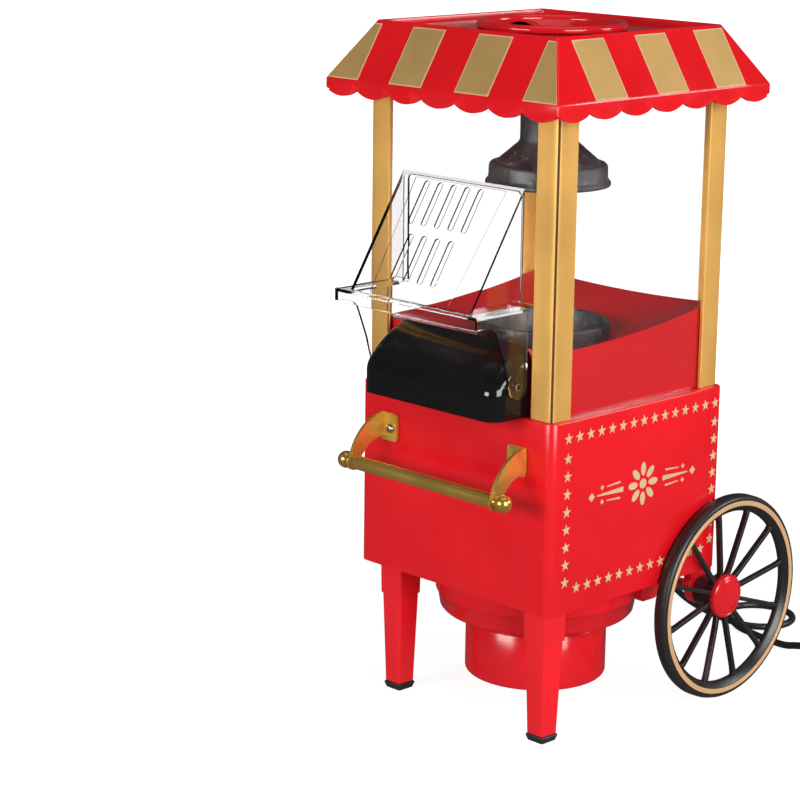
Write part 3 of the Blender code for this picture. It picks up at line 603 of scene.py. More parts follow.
def make_prints():
    """Star border and a plain rosette with tapering bars on both side panels."""
    cy, cz = ROSETTE_Y, ROSETTE_Z
    for name, sign, _ in SIDES:
        face = mirrored(sign, BODY_X - 0.05, BODY_X + 0.14)
        stars = [prism([(y + u, z + v) for u, v in star(3.45, 0.12 * math.sin(7.3 * i))], *face, "YZ")
                 for i, (y, z) in enumerate(border_spots())]
        piece(f"stars_{name}", together(*stars), "print", sharp=20)
        shapes = ring_of_petals(cy, cz, 8, 4.6, 12.6, 2.1) + [arc(cy, cz, 2.9, 0, 342, 19)]
        for way in (-1, 1):
            shapes += [[(cy + way * u, cz + v) for u, v in shape] for shape in TAPERING_BARS]
            shapes += [lozenge(cy + way * u, cz + v, half) for u, v, half in LOZENGES]
        marks = [prism(shape, *face, "YZ") for shape in shapes]
        piece(f"rosette_{name}", together(*marks), "print", sharp=20)


def make_base():
    bowl = [(60, UNDER), (60, 67.4)] + arc(57.6, 66.0, 2.4, 0, -62, 6) + arc(50, 60, 8.6, -34, -52, 4) + \
        [(49.2, 52.4), (44.4, 48.6), (42.6, 47.5), (41.2, 47.2), (39.5, 47.2), (55.5, 64), (58, 67),
         (58, UNDER)]
    piece("bowl", lathe(bowl, steps=128), "base", ["base_bowl"], sharp=50)
    cylinder = [(0, 14), (39.2, 14)] + arc(39.2, 16.5, 2.5, -90, 0, 5)[1:] + \
        [(41.7, 46.4), (41.3, 46.9), (39.7, 46.9), (39.7, 16), (0, 16)]
    cylinder = carve(lathe(cylinder, steps=128), spun_bars(12, (22, 34), (-1.6, 1.6), (12, 18)))
    piece("cylinder", cylinder, "base", ["base_cylinder"], sharp=50)


def make_hopper():
    def edge(y):
        return 226.5 + 11.5 * max(0.0, (y + 1) / 2) ** 2.2

    bm = bmesh.new()
    bmesh.ops.create_grid(bm, x_segments=44, y_segments=44, size=1)
    for vert in bm.verts:
        x, y = vert.co.x, vert.co.y
        dip = 16.0 * (1 - x * x) * (1 - y * y) + 2.5 * (1 - x * x) * max(0.0, y) ** 2
        vert.co = (x * HOPPER_X, y * HOPPER_Y, edge(y) - dip)
    border = [e for e in bm.edges if e.is_boundary]
    skirt = bmesh.ops.extrude_edge_only(bm, edges=border)["geom"]
    for vert in (item for item in skirt if isinstance(item, bmesh.types.BMVert)):
        vert.co.z = CAB_LOW
    bmesh.ops.recalc_face_normals(bm, faces=bm.faces)
    if sum(f.normal.z for f in bm.faces) < 0:
        bmesh.ops.reverse_faces(bm, faces=bm.faces)
    bmesh.ops.solidify(bm, geom=bm.faces[:], thickness=1.8)
    face_out(bm)
    hopper = carve(bm, pole(37.9, 180, 250))
    piece("tray", hopper, "hopper", ["hopper"], bevel=0.5, angle=60, sharp=50)


def make_pot():
    lip = arc(35.9, 224.9, 1.6, 0, 180, 8)
    collar = [(37.5, 196), (37.5, 205), (36.9, 205.6), (37.5, 206.2)] + lip + \
        [(34.3, 223), (33.0, 220), (33.0, 196)]
    piece("collar", lathe(collar), "cast", ["pot_collar"], sharp=50)
    chamber = [(0, 96.3), (31.2, 96.3), (32, 97.2), (32, 194.0), (32.6, 194.4), (36.5, 194.4),
               (36.5, 195.6), (31.8, 195.6), (30.8, 194.6), (30.8, 97.5), (0, 97.5)]
    chamber = carve(lathe(chamber), spun_bars(10, (14, 27), (-1.1, 1.1), (94, 99)))
    piece("chamber", chamber, "inner", ["popping_chamber"], sharp=50)


def chute_side(front, rear, crest):
    """Side view of the chute's skin from its foot up the front and along the slope, as (y, z)."""
    nose = arc(front + 12, 202, 12, 180, 130, 10)
    start, end = Vector(nose[-1]), Vector((rear, crest))
    bulge = Vector((-0.62, 0.78)) * 1.9
    slope = [tuple(start.lerp(end, t) + bulge * math.sin(math.pi * t) ** 0.8) for t in
             (k / 14 for k in range(1, 15))]
    return [(front, CAB_LOW), (front, 194.0), (front, 199.0)] + nose + slope


def make_chute():
    """Black chute with wide rounded side edges."""
    fillet, steps, rear = 9.0, 9, -67.0
    path = [Vector(p) for p in chute_side(-95.8, rear, 228.0)]
    inward = []
    for i in range(len(path)):
        along = (path[min(i + 1, len(path) - 1)] - path[max(i - 1, 0)]).normalized()
        inward.append(Vector((along.y, -along.x)))
    inward[-1] = Vector((0.0, -1.0)) * 0.9 + inward[-1] * 0.1
    inward[0] = Vector((1.0, 0.0))
    quarter = [math.pi / 2 * k / steps for k in range(steps + 1)]
    across = [(-CHUTE_X + fillet * (1 - math.cos(a)), fillet * (1 - math.sin(a))) for a in quarter]
    across += [(-20.0, 0.0), (20.0, 0.0)] + [(-x, deep) for x, deep in reversed(across)]
    bm = bmesh.new()
    rows = []
    for p, n in zip(path, inward):
        spots = [(x, p + n * deep) for x, deep in across]
        rows.append([bm.verts.new((x, spot.x, max(spot.y, CAB_LOW))) for x, spot in spots])
    for low, high in zip(rows, rows[1:]):
        for i in range(len(low) - 1):
            bm.faces.new((low[i], low[i + 1], high[i + 1], high[i]))
    feet = [bm.verts.new((x, rear, CAB_LOW)) for x in (-CHUTE_X, CHUTE_X)]
    bm.faces.new([row[0] for row in rows] + [feet[0]])
    bm.faces.new([row[-1] for row in rows] + [feet[1]])
    bm.faces.new(rows[-1] + [feet[1], feet[0]])
    bm.faces.new(rows[0] + [feet[1], feet[0]])
    piece("slide", face_out(bm), "gloss", ["chute"], sharp=42)


# ---------------------------------------------------------------- cabinet

def make_posts():
    x, y, notch = POST_X, POST_Y, GROOVE
    face = [(x - POST_LEG, y - 0.5), (x - POST_LEG + 0.5, y)]
    face += [(x - u, y - v) for u, v in ((6.5, 0.0), (4.2, 0.04), (2.9, 0.12), (2.1, 0.24), (1.65, 0.40))]
    face += [(x - notch, y - 0.65)]
    other_face = [(v + x - y, u + y - x) for u, v in reversed(face)]
    section = face + [(x - notch, y - notch)] + other_face
    section += rounded([(x - POST_WALL, y - POST_LEG + 0.1), (x - POST_WALL, y - POST_WALL, 0.9),
                        (x - POST_LEG + 0.1, y - POST_WALL)], 0, 5)
    # Dark strip that lines the corner notch.
    dark_groove_strip = [(x - notch - 0.1, y - notch - 0.1), (x - notch - 0.1, y - 0.62), (x - notch + 0.05, y - 0.58),
            (x - 0.58, y - notch + 0.05), (x - 0.62, y - notch - 0.1)]
    for end, along in (("front", -1), ("rear", 1)):
        for name, across, _ in SIDES:
            shape, strip = (prism([(across * u, along * v) for u, v in outline], CAB_LOW, CAB_TOP)
                            for outline in (section, dark_groove_strip))
            piece(f"column_{end}_{name}", shape, "post", [f"post_{end}_{name}"], sharp=25)
            piece(f"seam_{end}_{name}", strip, "dark_groove_strip", sharp=25)


def make_panels():
    outer, thick = POST_X - POST_WALL - GAP, 1.5
    for name, sign, _ in SIDES:
        pane = bar(mirrored(sign, outer, outer - thick), (-65.5, 65.5), (CAB_LOW, CAB_TOP))
        piece(f"pane_{name}", pane, "panel", [f"panel_{name}"], bevel=0.25)
    deep, wide = POST_Y - POST_WALL - GAP, outer - 1.8
    pane = bar((-wide, wide), (deep - thick, deep), (CAB_LOW, CAB_TOP))
    piece("pane_rear", pane, "panel", ["panel_rear"], bevel=0.25)
    outline = [(-wide, CAB_LOW, 0), (-56, CAB_LOW, 0), (-56, 251.5, 1.5), (-43, 251.5, 1.0), (-43, 311, 2.5)]
    outline += [(-x, z, radius) for x, z, radius in reversed(outline)]
    outline += [(wide, CAB_TOP, 0), (-wide, CAB_TOP, 0)]
    piece("pane_front", prism(rounded(outline, 0, 4), -deep, -deep + thick, "XZ"), "panel", ["panel_front"],
          bevel=0.25)


def hood_slots(turn):
    slots = []
    for count, start, length in ((5, 46.8, 23.0), (4, 13.5, 24.0)):
        for k in range(count):
            x = (k - (count - 1) / 2) * 10.35 - 4.75
            shape = arc(x, start + length, 1.9, 0, 180, 10) + arc(x, start, 1.9, 180, 360, 10)
            slots.append(moved(prism(shape, -6, 6), turn))
    return together(*slots)


def make_hood():
    rear, lip, half, wing = -69.2, -113.2, 46.5, 55.0
    low, top = (-109.5, 250.0), (rear, 314.0)
    tilt = math.atan2(top[1] - low[1], top[0] - low[0])
    turn = Matrix.Translation((0, *low)) @ turned(tilt, "X")
    hood = prism([low, (low[0] + 2.0, low[1]), (top[0], top[1] - 3.1), top], -half, half, "YZ")
    ear = ([(-73.0, 250.0), (-73.0, 206.5)] + arc(-79.5, 207.5, 6.4, -20, -170, 12)
           + rounded([(-86.6, 212.0), (-89.5, 219.5), (-94.0, 231.0), (-98.0, 240.5, 5), (-105.0, 243.5, 4),
                      (-112.0, 243.5)], 3, 4)[5:-5]
           + [(-112.0, 243.5), (-112.0, 250.0)])
    cheek = [(low[0] + 0.4, 249.6), (rear, 249.6), (rear, top[1] - 0.6)]
    for _, sign, axis in SIDES:
        hood = fuse(hood, prism(cheek, *mirrored(sign, half, half - 1.5), "YZ"),
                    bar(mirrored(sign, half - 1.3, wing), (lip + 0.6, rear - 3.0), (248.6, 250.4)),
                    prism(ear, *mirrored(sign, wing - 1.8, wing), "YZ"))
        hood = carve(hood, pole(1.8, 50, 58, (0, PIVOT_Y, PIVOT_Z), axis, 32))
    hood = fuse(hood, bar((-wing, wing), (lip, lip + 1.6), (243.2, 250.8)),
                bar((1.0 - wing, wing - 1.0), (lip + 0.8, -107.6), (248.7, 250.3)))
    field = prism([(-31.5, 1.5), (28.5, 1.5), (34.5, 72.5), (-35.0, 72.5)], -0.55, 3)
    hood = carve(carve(hood, hood_slots(turn)), moved(field, turn))
    piece("visor", hood, "hood", ["hood"], "hood", bevel=0.3, angle=50, sharp=30)
    foot = CHUTE_X + GAP
    pin = [(0, 56.2), (1.6, 56.1), (2.2, 55.8), (2.4, 55.3), (1.5, 55.3), (1.5, foot), (0, foot)]
    for name, _, axis in SIDES:
        piece(f"pin_{name}", lathe(pin, (0, PIVOT_Y, PIVOT_Z), axis, 40), "hood",
              [f"hood_pin_{name}"])


# ---------------------------------------------------------------- roof

def roof_half(z):
    return EAVE + (RIM - EAVE) * (z - EAVE_Z) / (RIM_Z - EAVE_Z)


def scallop_tool():
    pitch, sag, lobes, notch = 2 * EAVE / 7, 4.0, 7, 358.0
    radius = (pitch * pitch / 4 + sag * sag) / (2 * sag)
    half = math.degrees(math.asin(pitch / 2 / radius))
    edge = []
    for k in range(lobes):
        lobe = arc(-EAVE + pitch * (k + 0.5), notch - sag + radius, radius, -90 - half, -90 + half, 14)
        edge += lobe if k == 0 else lobe[1:]
    return [(-EAVE - 3, 345.0), (-EAVE - 3, notch)] + edge + [(EAVE + 3, notch), (EAVE + 3, 345.0)]


def make_roof():
    def ring(half, z, radius=0.9):
        return rect_ring(half, half, radius, z, 3, 8)

    under, hem, inset = DECK_Z - 2, 351, 2.0
    rings = [ring(EAVE, hem), ring(EAVE, 362.9), ring(EAVE - 0.15, 363.6), ring(EAVE - 0.75, 364.6)]
    rings += [ring(roof_half(z), z) for z in (372.0, 380.0, 388.0, 394.9)]
    rings += [ring(RIM + out, z) for out, z in ((0.25, 395.7), (-0.25, 396.0), (-1.2, 396.0), (-1.8, 395.6),
                                                (-2.0, 394.8), (-2.1, 393.1))]
    deck = ring(RIM - 2.7, DECK_Z, 2.0)
    rings.append(deck)
    rings += [round_ring(radius, z, deck) for radius, z in ((42.9, DECK_Z), (40.0, DECK_Z - 0.2),
                                                            (39.5, DECK_Z - 0.6), (39.5, under))]
    rings += [ring(roof_half(under) - 2.4, under), ring(EAVE - inset, EAVE_Z - 0.4), ring(EAVE - inset, hem)]
    canopy = moved(loft(rings, closed=True), Matrix.Translation((0, ROOF_Y, 0)))
    for k in range(4):
        tool = prism(scallop_tool(), -EAVE - 4, -EAVE + 2.8, "XZ")
        canopy = carve(canopy, moved(tool, Matrix.Translation((0, ROOF_Y, 0)) @ turned(k * math.pi / 2)))
    piece("canopy", canopy, "roof", ["roof_canopy"], bevel=0.35, angle=62, sharp=30)


def stripe_shapes():
    """Stripe outlines on a roof slope as (u along the eave, s up the slope), for ends and sides."""
    low, high, margin, last = 0.6, 36.2, 1.1, 62.6
    length = math.hypot(EAVE - RIM, RIM_Z - EAVE_Z)

    def hip(s):
        return EAVE - (EAVE - RIM) * s / length - margin

    def upright(centre, half):
        return [(centre - half, low), (centre + half, low), (centre + half, high), (centre - half, high)]

    ends = [upright(centre, 12.5) for centre in (-25.2, 25.2)]
    ends += [[(way * last, low), (way * hip(low), low), (way * hip(high), high), (way * last, high)]
             for way in (-1, 1)]
    return ends, [upright(centre, 12.7) for centre in (-46.0, 4.4, 53.8)]


def make_stripes():
    tilt = math.atan2(RIM_Z - EAVE_Z, EAVE - RIM)
    ends, sides = stripe_shapes()
    sides_reversed = [[(-u, s) for u, s in shape] for shape in sides]
    border = 0.75
    for quarter, (name, shapes) in enumerate((("front", ends), ("right", sides), ("rear", ends),
                                              ("left", sides_reversed))):
        turn = (Matrix.Translation((0, ROOF_Y, 0)) @ turned(quarter * math.pi / 2)
                @ Matrix.Translation((0, -EAVE, EAVE_Z)) @ turned(tilt, "X"))
        edges, fields = [], []
        for shape in shapes:
            centre = [sum(p[i] for p in shape) / 4 for i in (0, 1)]
            inner = [[c + math.copysign(border, middle - c) for c, middle in zip(p, centre)] for p in shape]
            edges.append(moved(prism(shape, -0.1, 0.16), turn))
            fields.append(moved(prism(inner, -0.1, 0.24), turn))
        piece(f"stripe_edges_{name}", together(*edges), "stripe_edge", sharp=20)
        piece(f"stripes_{name}", together(*fields), "stripe", sharp=20)


def make_bell():
    bell = [(19, 362), (19, 360.7), (16, 360.7), (16, 352), (16.3, 350.5), (16, 349), (16, 331),
            (16.3, 329.4), (17.4, 328.0), (28.2, 318.7), (28.9, 318.0), (29.3, 317.3), (29.9, 317.2),
            (31.0, 317.5), (32.1, 317.2), (33.0, 316.3), (33.4, 314.9), (33.5, 309.4), (33.8, 308.4),
            (34.8, 307.3), (35.3, 306.4), (35.3, 305.2), (34.8, 304.6), (31.8, 304.6), (31.6, 313.4),
            (28.4, 315.6), (16, 326.6), (14.3, 329.6), (14.3, 362)]
    piece("shade", lathe(bell, steps=128), "cast", ["bell"], sharp=50)
    funnel = [(41.5, 389.0), (41.5, 390.2), (37, 390.2), (12.6, 365.2), (12.6, 362.3), (13.8, 362.3),
              (13.8, 364.6), (37.8, 389)]
    piece("funnel", lathe(funnel), "hopper", ["kernel_funnel"], sharp=40)
    plate = prism(rounded(box_outline(0, ROOF_Y, 85.8, 85.8), 1.0, 3), 358.0, 360.4)
    piece("ceiling", carve(plate, pole(16.4, 355, 363)), "hopper", ["top_plate"], bevel=0.3)


def make_lid():
    cup = [(0, 387.0), (28.2, 387.0), (29.6, 387.5), (33.8, 391.0), (35.6, 393.0), (36.6, 394.0)]
    cup += arc(40.0, 394.4, 2.5, 180, -40, 16)
    cup += [(41.6, 392.85), (36.8, 392.8), (36.2, 392.3), (35.4, 390.6), (30.2, 386.1), (29.0, 385.5),
            (0, 385.5)]
    piece("lid_dish", lathe(cup), "lid", ["lid_cup"], "lid", sharp=50)
    loop_x, loop_z = -12.9, 386.2
    outer = [(loop_x + 17.2 * x, loop_z + 10.6 * z) for x, z in arc(0, 0, 1, 0, 180, 30)]
    hollow = [(loop_x + 11.9 * x, loop_z + 8.6 * z) for x, z in arc(0, 0, 1, 180, 0, 26)]
    loop = prism(outer + hollow, -11.2, -6.8, "XZ")
    bmesh.ops.bevel(loop, geom=[e for e in loop.edges if e.calc_face_angle(0) > 1.0], offset=1.0, segments=3,
                    profile=0.6, affect="EDGES")
    piece("lid_loop", loop, "lid", body="lid", sharp=60)


# ---------------------------------------------------------------- running gear

def square_loft(levels, at, radius=1.3):
    return loft([rect_ring(half, half, min(radius, half * 0.4), z, 4, 2, at) for z, half in levels])


def make_legs():
    for name, sign, _ in SIDES:
        at = (sign * LEG_X, LEG_Y)
        leg = square_loft([(4.3, 5.9), (4.5, 6.1), (58.4, 7.68), (59.0, 7.75), (59.25, 8.25), (59.8, 8.45),
                           (UNDER, 8.75)], at)
        piece(f"foreleg_{name}", leg, "leg", [f"leg_{name}"], sharp=30)
        pad = square_loft([(0, 5.5), (0.25, 5.75), (2.9, 6.6), (3.3, 6.65), (4.0, 6.2)], at, 0.9)
        piece(f"pad_{name}", pad, "rubber", [f"foot_pad_{name}"], sharp=30)


def make_axle():
    shape = rounded([(23, UNDER, 0), (23, 65), (35, 65), (39, 69.5), (41, 75), (66, 75), (68, 68)], 1.6, 4)
    shape += arc(AXLE_Y, AXLE_Z, 9.0, 200, 360, 16) + [(AXLE_Y + 9.0, UNDER)]
    for name, sign, _ in SIDES:
        lug = carve(prism(shape, *mirrored(sign, 56.0, 62.0), "YZ"),
                    pole(3.3, -70, 70, (0, AXLE_Y, AXLE_Z), "X", 40))
        piece(f"lug_{name}", lug, "leg", [f"axle_bracket_{name}"], bevel=0.6, sharp=30)
    rod = [(0, 79), (2.4, 79), (3, 78.4), (3, -78.4), (2.4, -79), (0, -79)]
    piece("axle_bar", lathe(rod, (0, AXLE_Y, AXLE_Z), "X", 40), "axle", ["axle"])


SPOKE_STATIONS = (
    (9.0, 2.0, 1.5, 0.0), (12.4, 1.85, 1.5, 0.0), (15.0, 1.4, 1.7, 0.25), (20.0, 1.2, 1.8, 0.4),
    (46.0, 1.15, 1.8, 0.4), (49.5, 1.3, 1.8, 0.35), (51.6, 1.6, 1.7, 0.1), (54.0, 2.2, 1.6, -0.4),
)


def spoke_rings(sign, angle):
    """Thin blade that leans outwards, flaring at its ends; a station is radius, half width and depth, lift."""
    out = Vector((0, math.cos(angle), math.sin(angle)))
    across = Vector((0, -math.sin(angle), math.cos(angle)))
    side = Vector((sign, 0, 0))
    centre = Vector((0, AXLE_Y, AXLE_Z))
    rings = []
    for r, wide, deep, lift in SPOKE_STATIONS:
        x = WHEEL_X - 3.3 + SPOKE_LEAN * (r - 8.5) + lift
        outline = rounded(box_outline(0, 0, wide, deep), min(wide, deep) * 0.45, 3)
        rings.append([tuple(centre + out * r + side * (x + v) + across * u) for u, v in outline])
    return rings


def make_wheels():
    """Rims, spokes and hubs; heights run outwards from the rim's middle."""
    tread = [(58.3, 4.3), (59.4, 4.15), (60.4, 3.65), (61.1, 2.75), (61.45, 1.6), (61.5, 0.4), (61.5, -2.4),
             (61.2, -3.3), (60.5, -3.9), (59.0, -4.2), (56.6, -4.2), (55.9, -3.8), (55.5, -2.6), (54.6, -2.2),
             (53.2, -2.1), (52.2, -1.6), (51.7, -0.6), (51.6, 0.5), (51.9, 1.3), (52.6, 2.0), (54.9, 3.9),
             (55.4, 4.2)]
    hub = [(11.2, -1.5), (12.2, -1.9), (12.5, -3.4), (12.3, -6.8), (11.6, -7.5), (9.6, -8.6), (8.6, -10.0),
           (8.6, -17.2), (8.0, -18.0), (3.3, -18.0), (3.3, -1.5)]
    line = [(58.35, 4.1), (58.3, 4.38), (57.9, 4.46), (57.05, 4.44), (56.95, 4.36), (56.85, 4.44),
            (55.8, 4.46), (55.45, 4.36), (55.4, 4.1)]
    cap = [(0, 4.2), (2.5, 4.15), (5.5, 3.8), (8.2, 3.1), (10.2, 2.3), (10.9, 1.9), (11.2, 1.8), (11.5, 1.95),
           (12.3, 1.6), (12.9, 0.9), (13.1, 0.0), (13.1, -1.2), (0, -1.2)]
    for name, sign, axis in SIDES:
        at = (sign * WHEEL_X, AXLE_Y, AXLE_Z)
        angles = [math.pi / 2 + math.tau * (k + SPOKE_PHASE) / SPOKES for k in range(SPOKES)]
        spokes = [loft(spoke_rings(sign, angle)) for angle in angles]
        wheel = together(lathe(tread, at, axis, 144), lathe(hub, at, axis, 64), *spokes)
        body = f"wheel_{name}"
        piece(f"rim_and_spokes_{name}", wheel, "wheel", [f"wheel_{name}"], body, sharp=45)
        piece(f"rim_line_{name}", lathe(line, at, axis, 144), "copper", body=body, sharp=30)
        piece(f"cap_{name}", lathe(cap, at, axis), "cap", [f"hub_cap_{name}"], body, sharp=45)


# ---------------------------------------------------------------- handle

def make_handle():
    front, low, high = -BODY_Y - GAP, 157.0, 173.5
    neck, centre = HANDLE_X + GAP, (0, HANDLE_Y, HANDLE_Z)
    arm = ([(front, high), (front, low + 3)] + arc(-74.5, 139.5, 19.5, 88, 140, 12)
           + arc(HANDLE_Y, HANDLE_Z, 5.0, 20, -190, 20) + arc(-70.0, 143.0, 31.0, 172, 100, 18))
    knob = [(0, 67.0)] + arc(0, 62.0, 5.0, 90, -50, 22)[1:] + [
        (3.1, neck + 1.0), (3.4, neck + 0.7), (3.4, neck), (2.0, neck), (2.0, 55.0), (0, 55.0)]
    dome = [(0, 2.0), (0.9, 1.97), (1.7, 1.8), (2.3, 1.35), (2.65, 0.7), (2.7, 0), (0, 0)]
    for name, sign, axis in SIDES:
        flange = rounded([(sign * 43.5, low, 2.2), (sign * 56.2, low, 0.4), (sign * 56.2, high, 0.4),
                          (sign * 43.5, high, 2.2)], 1, 5)
        bracket = fuse(prism(arm, *mirrored(sign, HANDLE_X - 1.8, HANDLE_X), "YZ"),
                       prism(flange, front - 1.6, front, "XZ"))
        piece(f"arm_{name}", carve(bracket, pole(2.3, 50, 60, centre, axis, 32)), "bracket",
              [f"handle_bracket_{name}"], bevel=0.45, segments=3, angle=50)
        piece(f"knob_{name}", lathe(knob, centre, axis, 64), "ball", [f"handle_ball_{name}"],
              sharp=45)
        head = carve(lathe(dome, steps=48), bar((-1.5, 1.5), (-0.32, 0.32), (0.9, 3)),
                     bar((-0.32, 0.32), (-1.5, 1.5), (0.9, 3)))
        turn = Matrix.Translation((sign * 48.5, front - 1.9, 164.5)) @ AXES["-Y"] @ turned(0.5 * sign)
        piece(f"screw_{name}", moved(head, turn), "steel", [f"handle_screw_{name}"])
    rod = [(0, 54.7), (3.7, 54.7), (4.1, 54.2), (4.1, -54.2), (3.7, -54.7), (0, -54.7)]
    piece("grip", lathe(rod, centre, "X", 64), "rod", ["handle_rod"])


# ---------------------------------------------------------------- switch, cord and plug

def make_switch():
    x, z, back = SWITCH_X, SWITCH_Z, BODY_Y + GAP
    flange = prism(rounded(box_outline(x, z, 12, 8.8), 1.6, 4), back, back + 1.6, "XZ")
    bezel = fuse(flange, bar((x - 9.5, x + 9.5), (58, back + 0.4), (z - 6.5, z + 6.5)))
    bezel = carve(bezel, bar((x - 8, x + 8), (64, back + 3), (z - 5.3, z + 5.3)))
    piece("switch_frame", bezel, "black", ["switch_bezel"], bevel=0.35, angle=50)
    y = 72.0
    side = rounded([(y - 5, z - 2.4), (y - 5, z + 2.4), (y + 3.8, z + 4.4, 0.7), (y + 2.6, z, 6),
                    (y + 5.6, z - 4.4, 0.7)], 0.4, 5)
    key = prism(side, x - 7.4, x + 7.4, "YZ")
    piece("switch_key", key, "black", ["switch_rocker"], "rocker", bevel=0.3, angle=50)


def smooth(points, spacing):
    """Points at an even spacing along a Catmull-Rom curve through the given ones."""
    ends = [points[0], *points, points[-1]]
    fine = []
    for a, b, c, d in zip(ends, ends[1:], ends[2:], ends[3:]):
        for step in range(24):
            t = step / 24
            fine.append([0.5 * (2 * q + (r - p) * t + (2 * p - 5 * q + 4 * r - s) * t * t
                                + (3 * q - p - 3 * r + s) * t ** 3) for p, q, r, s in zip(a, b, c, d)])
    fine.append(list(points[-1]))
    even, travelled = [fine[0]], 0.0
    for before, after in zip(fine, fine[1:]):
        travelled += math.dist(before, after)
        if travelled >= spacing:
            even.append(after)
            travelled = 0.0
    even.append(fine[-1])
    return even


def coil_points():
    """Turns of the coil, clockwise from its near side, two wide and two high, with short crossings.

    A station is how many turns are behind it, its lane (1 outer, -1 inner) and its layer (0 or 1).
    """
    stations = ((0.0, 1, 0), (0.90, 1, 0), (1.06, -1, 0), (1.92, -1, 0), (2.06, -1, 1), (2.72, -1, 1),
                (2.88, 1, 1), (3.46, 1, 1))
    begin, sweep, lane_width = -90.0, 163.0 + 3 * 360.0, CORD_R * 1.04
    points = []
    count = int(sweep / 15)
    for k in range(count + 1):
        angle = math.radians(begin - sweep * k / count)
        turn = sweep / 360 * k / count
        for (t0, a0, b0), (t1, a1, b1) in zip(stations, stations[1:]):
            if turn <= t1 or t1 == stations[-1][0]:
                f = min(1.0, max(0.0, (turn - t0) / (t1 - t0)))
                f = f * f * (3 - 2 * f)
                lane, layer = a0 + (a1 - a0) * f, b0 + (b1 - b0) * f
                break
        radius = COIL_R + lane * lane_width
        points.append((COIL_X + radius * math.cos(angle), COIL_Y + radius * math.sin(angle),
                       CORD_Z + layer * 2.0 * CORD_R))
    return points


def cord_route():
    x, y, z = COIL_X, COIL_Y, CORD_Z
    down = [(RELIEF_X, BODY_Y + 30.0, RELIEF_Z), (RELIEF_X, BODY_Y + 34.0, RELIEF_Z), (RELIEF_X, 113, 97.7),
            (-46, 119, 95.5), (-49, 130, 85), (-57, 142, 62), (-66, 150, 36), (-76, 158, 15), (-87, 164.5, 5),
            (x + COIL_CLEAR * 0.6, y - COIL_R - CORD_R, z)]
    away = math.radians(107)
    lead = COIL_CLEAR * 0.85
    leave = (x + COIL_R * math.cos(away) + lead * math.sin(away),
             y + (COIL_R + CORD_R) * math.sin(away) - lead * math.cos(away), z + 1.6)
    loop = [(lx, ly, z) for lx, ly in arc(10, 204, 22, -90, 200, 12)]
    across = [leave, (-94, 226, z), (-77, 219.5, z), (-61, 207, z), (-45, 197.5, z), (-29, 190.5, z),
              (-11, 185, z), *loop, (-8, 191, z + 2.6), (-3, 186, z + 4.9), (5, 180.5, z + 3.0),
              (16, 176, z + 0.4), (30, 173, z), (44, 171, z), (58, 168.5, z + 0.9), (68, 168, z + 3.2),
              (75, 168, PLUG_Z - 0.1), (PLUG_X + 2.0, PLUG_Y, PLUG_Z)]
    return down + coil_points()[:-1] + across


def make_relief():
    profile = [(0, 33.0), (2.6, 33.0), (3.1, 32.6)]
    for k in range(7):
        z = 31.6 - 3.9 * k
        r = 3.25 + 0.27 * k
        profile += [(r, z), (r + 0.15, z - 1.9), (r - 0.55, z - 2.2), (r - 0.50, z - 3.5)]
    profile += [(5.0, 4.0), (5.2, 3.0), (6.4, 2.9), (7.0, 2.3), (7.0, 0.3), (4.0, 0.3), (4.0, -6.0),
                (0, -6.0)]
    sleeve = lathe(profile, (RELIEF_X, BODY_Y, RELIEF_Z), "Y", 48)
    piece("relief", sleeve, "cord", ["strain_relief"], sharp=40)


def make_plug():
    def ring(x, half_y, half_z, radius):
        flat = rect_ring(half_y, half_z, radius, 0, 5, 2)
        return [(PLUG_X + x, PLUG_Y + u, PLUG_Z + v) for u, v, _ in flat]

    sizes = [(0.2, 3.4, 3.4, 3.3), (0.8, 4.0, 3.9, 3.7), (6, 4.6, 4.4, 4.0), (9, 6.2, 5.1, 4.4),
             (13, 9.8, 6.0, 4.8), (17, 13.2, 6.45, 5.0), (20, 15.6, 6.6, 5.0), (24, 16.8, 6.6, 5.0),
             (34.6, 17.0, 6.6, 5.0), (35.7, 16.6, 6.2, 4.6), (36.0, 15.8, 5.4, 4.0)]
    plug = loft([ring(*size) for size in sizes])
    for k in range(4):
        x = PLUG_X + 23.5 + 2.6 * k
        for level in (PLUG_Z + 6.7, PLUG_Z - 6.7):
            plug = carve(plug, bar((x, x + 1.1), (PLUG_Y - 10, PLUG_Y + 10), (level - 0.5, level + 0.5)))
    body = piece("plug_body", plug, "black", ["plug"], sharp=40)
    pin = [(0, 35.0), (2.0, 35.0), (2.0, 54.0), (1.6, 54.8), (0, 55.0)]
    pins = [lathe(pin, (PLUG_X, PLUG_Y + side, PLUG_Z), "X", 32) for side in (-9.4, 9.4)]
    return body, piece("plug_pins", together(*pins), "steel", sharp=45)


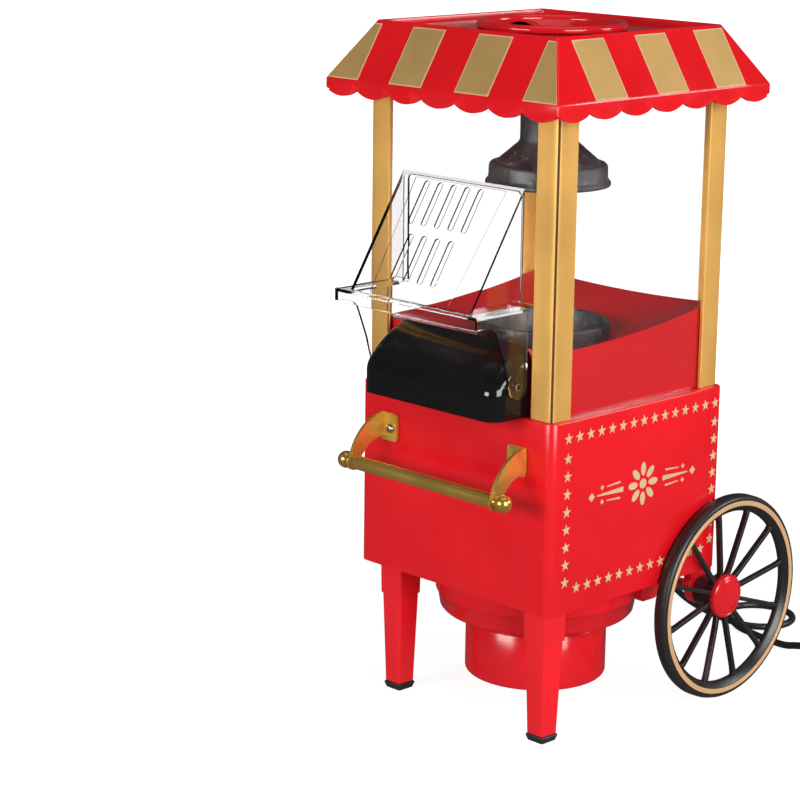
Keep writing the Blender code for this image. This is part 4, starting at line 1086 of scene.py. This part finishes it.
def make_tie():
    """Band that holds the coil's turns together, on its far left side."""
    angle = math.radians(200)
    out = Vector((math.cos(angle), math.sin(angle), 0))
    around = Vector((-math.sin(angle), math.cos(angle), 0))
    middle = Vector((COIL_X, COIL_Y, CORD_Z + CORD_R)) + out * COIL_R
    outline = rounded(box_outline(0, 0, 1, 1), 0.45, 4)
    bm = bmesh.new()
    rows = []
    for scale, along in ((0.82, -2.2), (1.0, -1.9), (1.0, 1.9), (0.82, 2.2)):
        shape = [(u * 5.0 * scale, v * (4.55 if v > 0 else 4.35) * scale) for u, v in outline]
        rows.append([bm.verts.new(middle + out * u + Vector((0, 0, v)) + around * along) for u, v in shape])
    skin(bm, rows, closed=True)
    return piece("cord_tie", face_out(bm), "rubber", sharp=30)


def make_cord():
    make_relief()
    plug, pins = make_plug()
    tie = make_tie()
    route = [ROW @ Vector(p) for p in smooth(cord_route(), 1.6)]
    curve = bpy.data.curves.new("flex", "CURVE")
    curve.dimensions = "3D"
    curve.bevel_depth = CORD_R * MM
    curve.bevel_resolution = 5
    curve.use_fill_caps = True
    spline = curve.splines.new("POLY")
    spline.points.add(len(route) - 1)
    for point, spot in zip(spline.points, route):
        point.co = (*spot, 1)
    spline.use_smooth = True
    cord = linked("flex", curve)
    curve.materials.append(M["cord"])
    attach(cord, "cart")
    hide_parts("cord_run_down", "cord_coil", "cord_run_across")


# ---------------------------------------------------------------- inner works that stay as packed

def dress_inner_works():
    for look, names in (("inner", "motor chamber_ring heater_duct"), ("steel", "motor_shaft heater_coil"),
                        ("black", "motor_plate fan thermal_cutout")):
        for name in names.split():
            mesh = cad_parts[name].data
            mesh.materials.clear()
            mesh.materials.append(M[look])


make_materials()
make_camera()
make_lamps()
make_surroundings()
make_floor()
for make in (make_cord, make_body, make_prints, make_base, make_hopper, make_pot, make_chute, make_posts,
             make_panels, make_hood, make_roof, make_stripes, make_bell, make_lid, make_legs, make_axle,
             make_wheels, make_handle, make_switch, dress_inner_works):
    make()
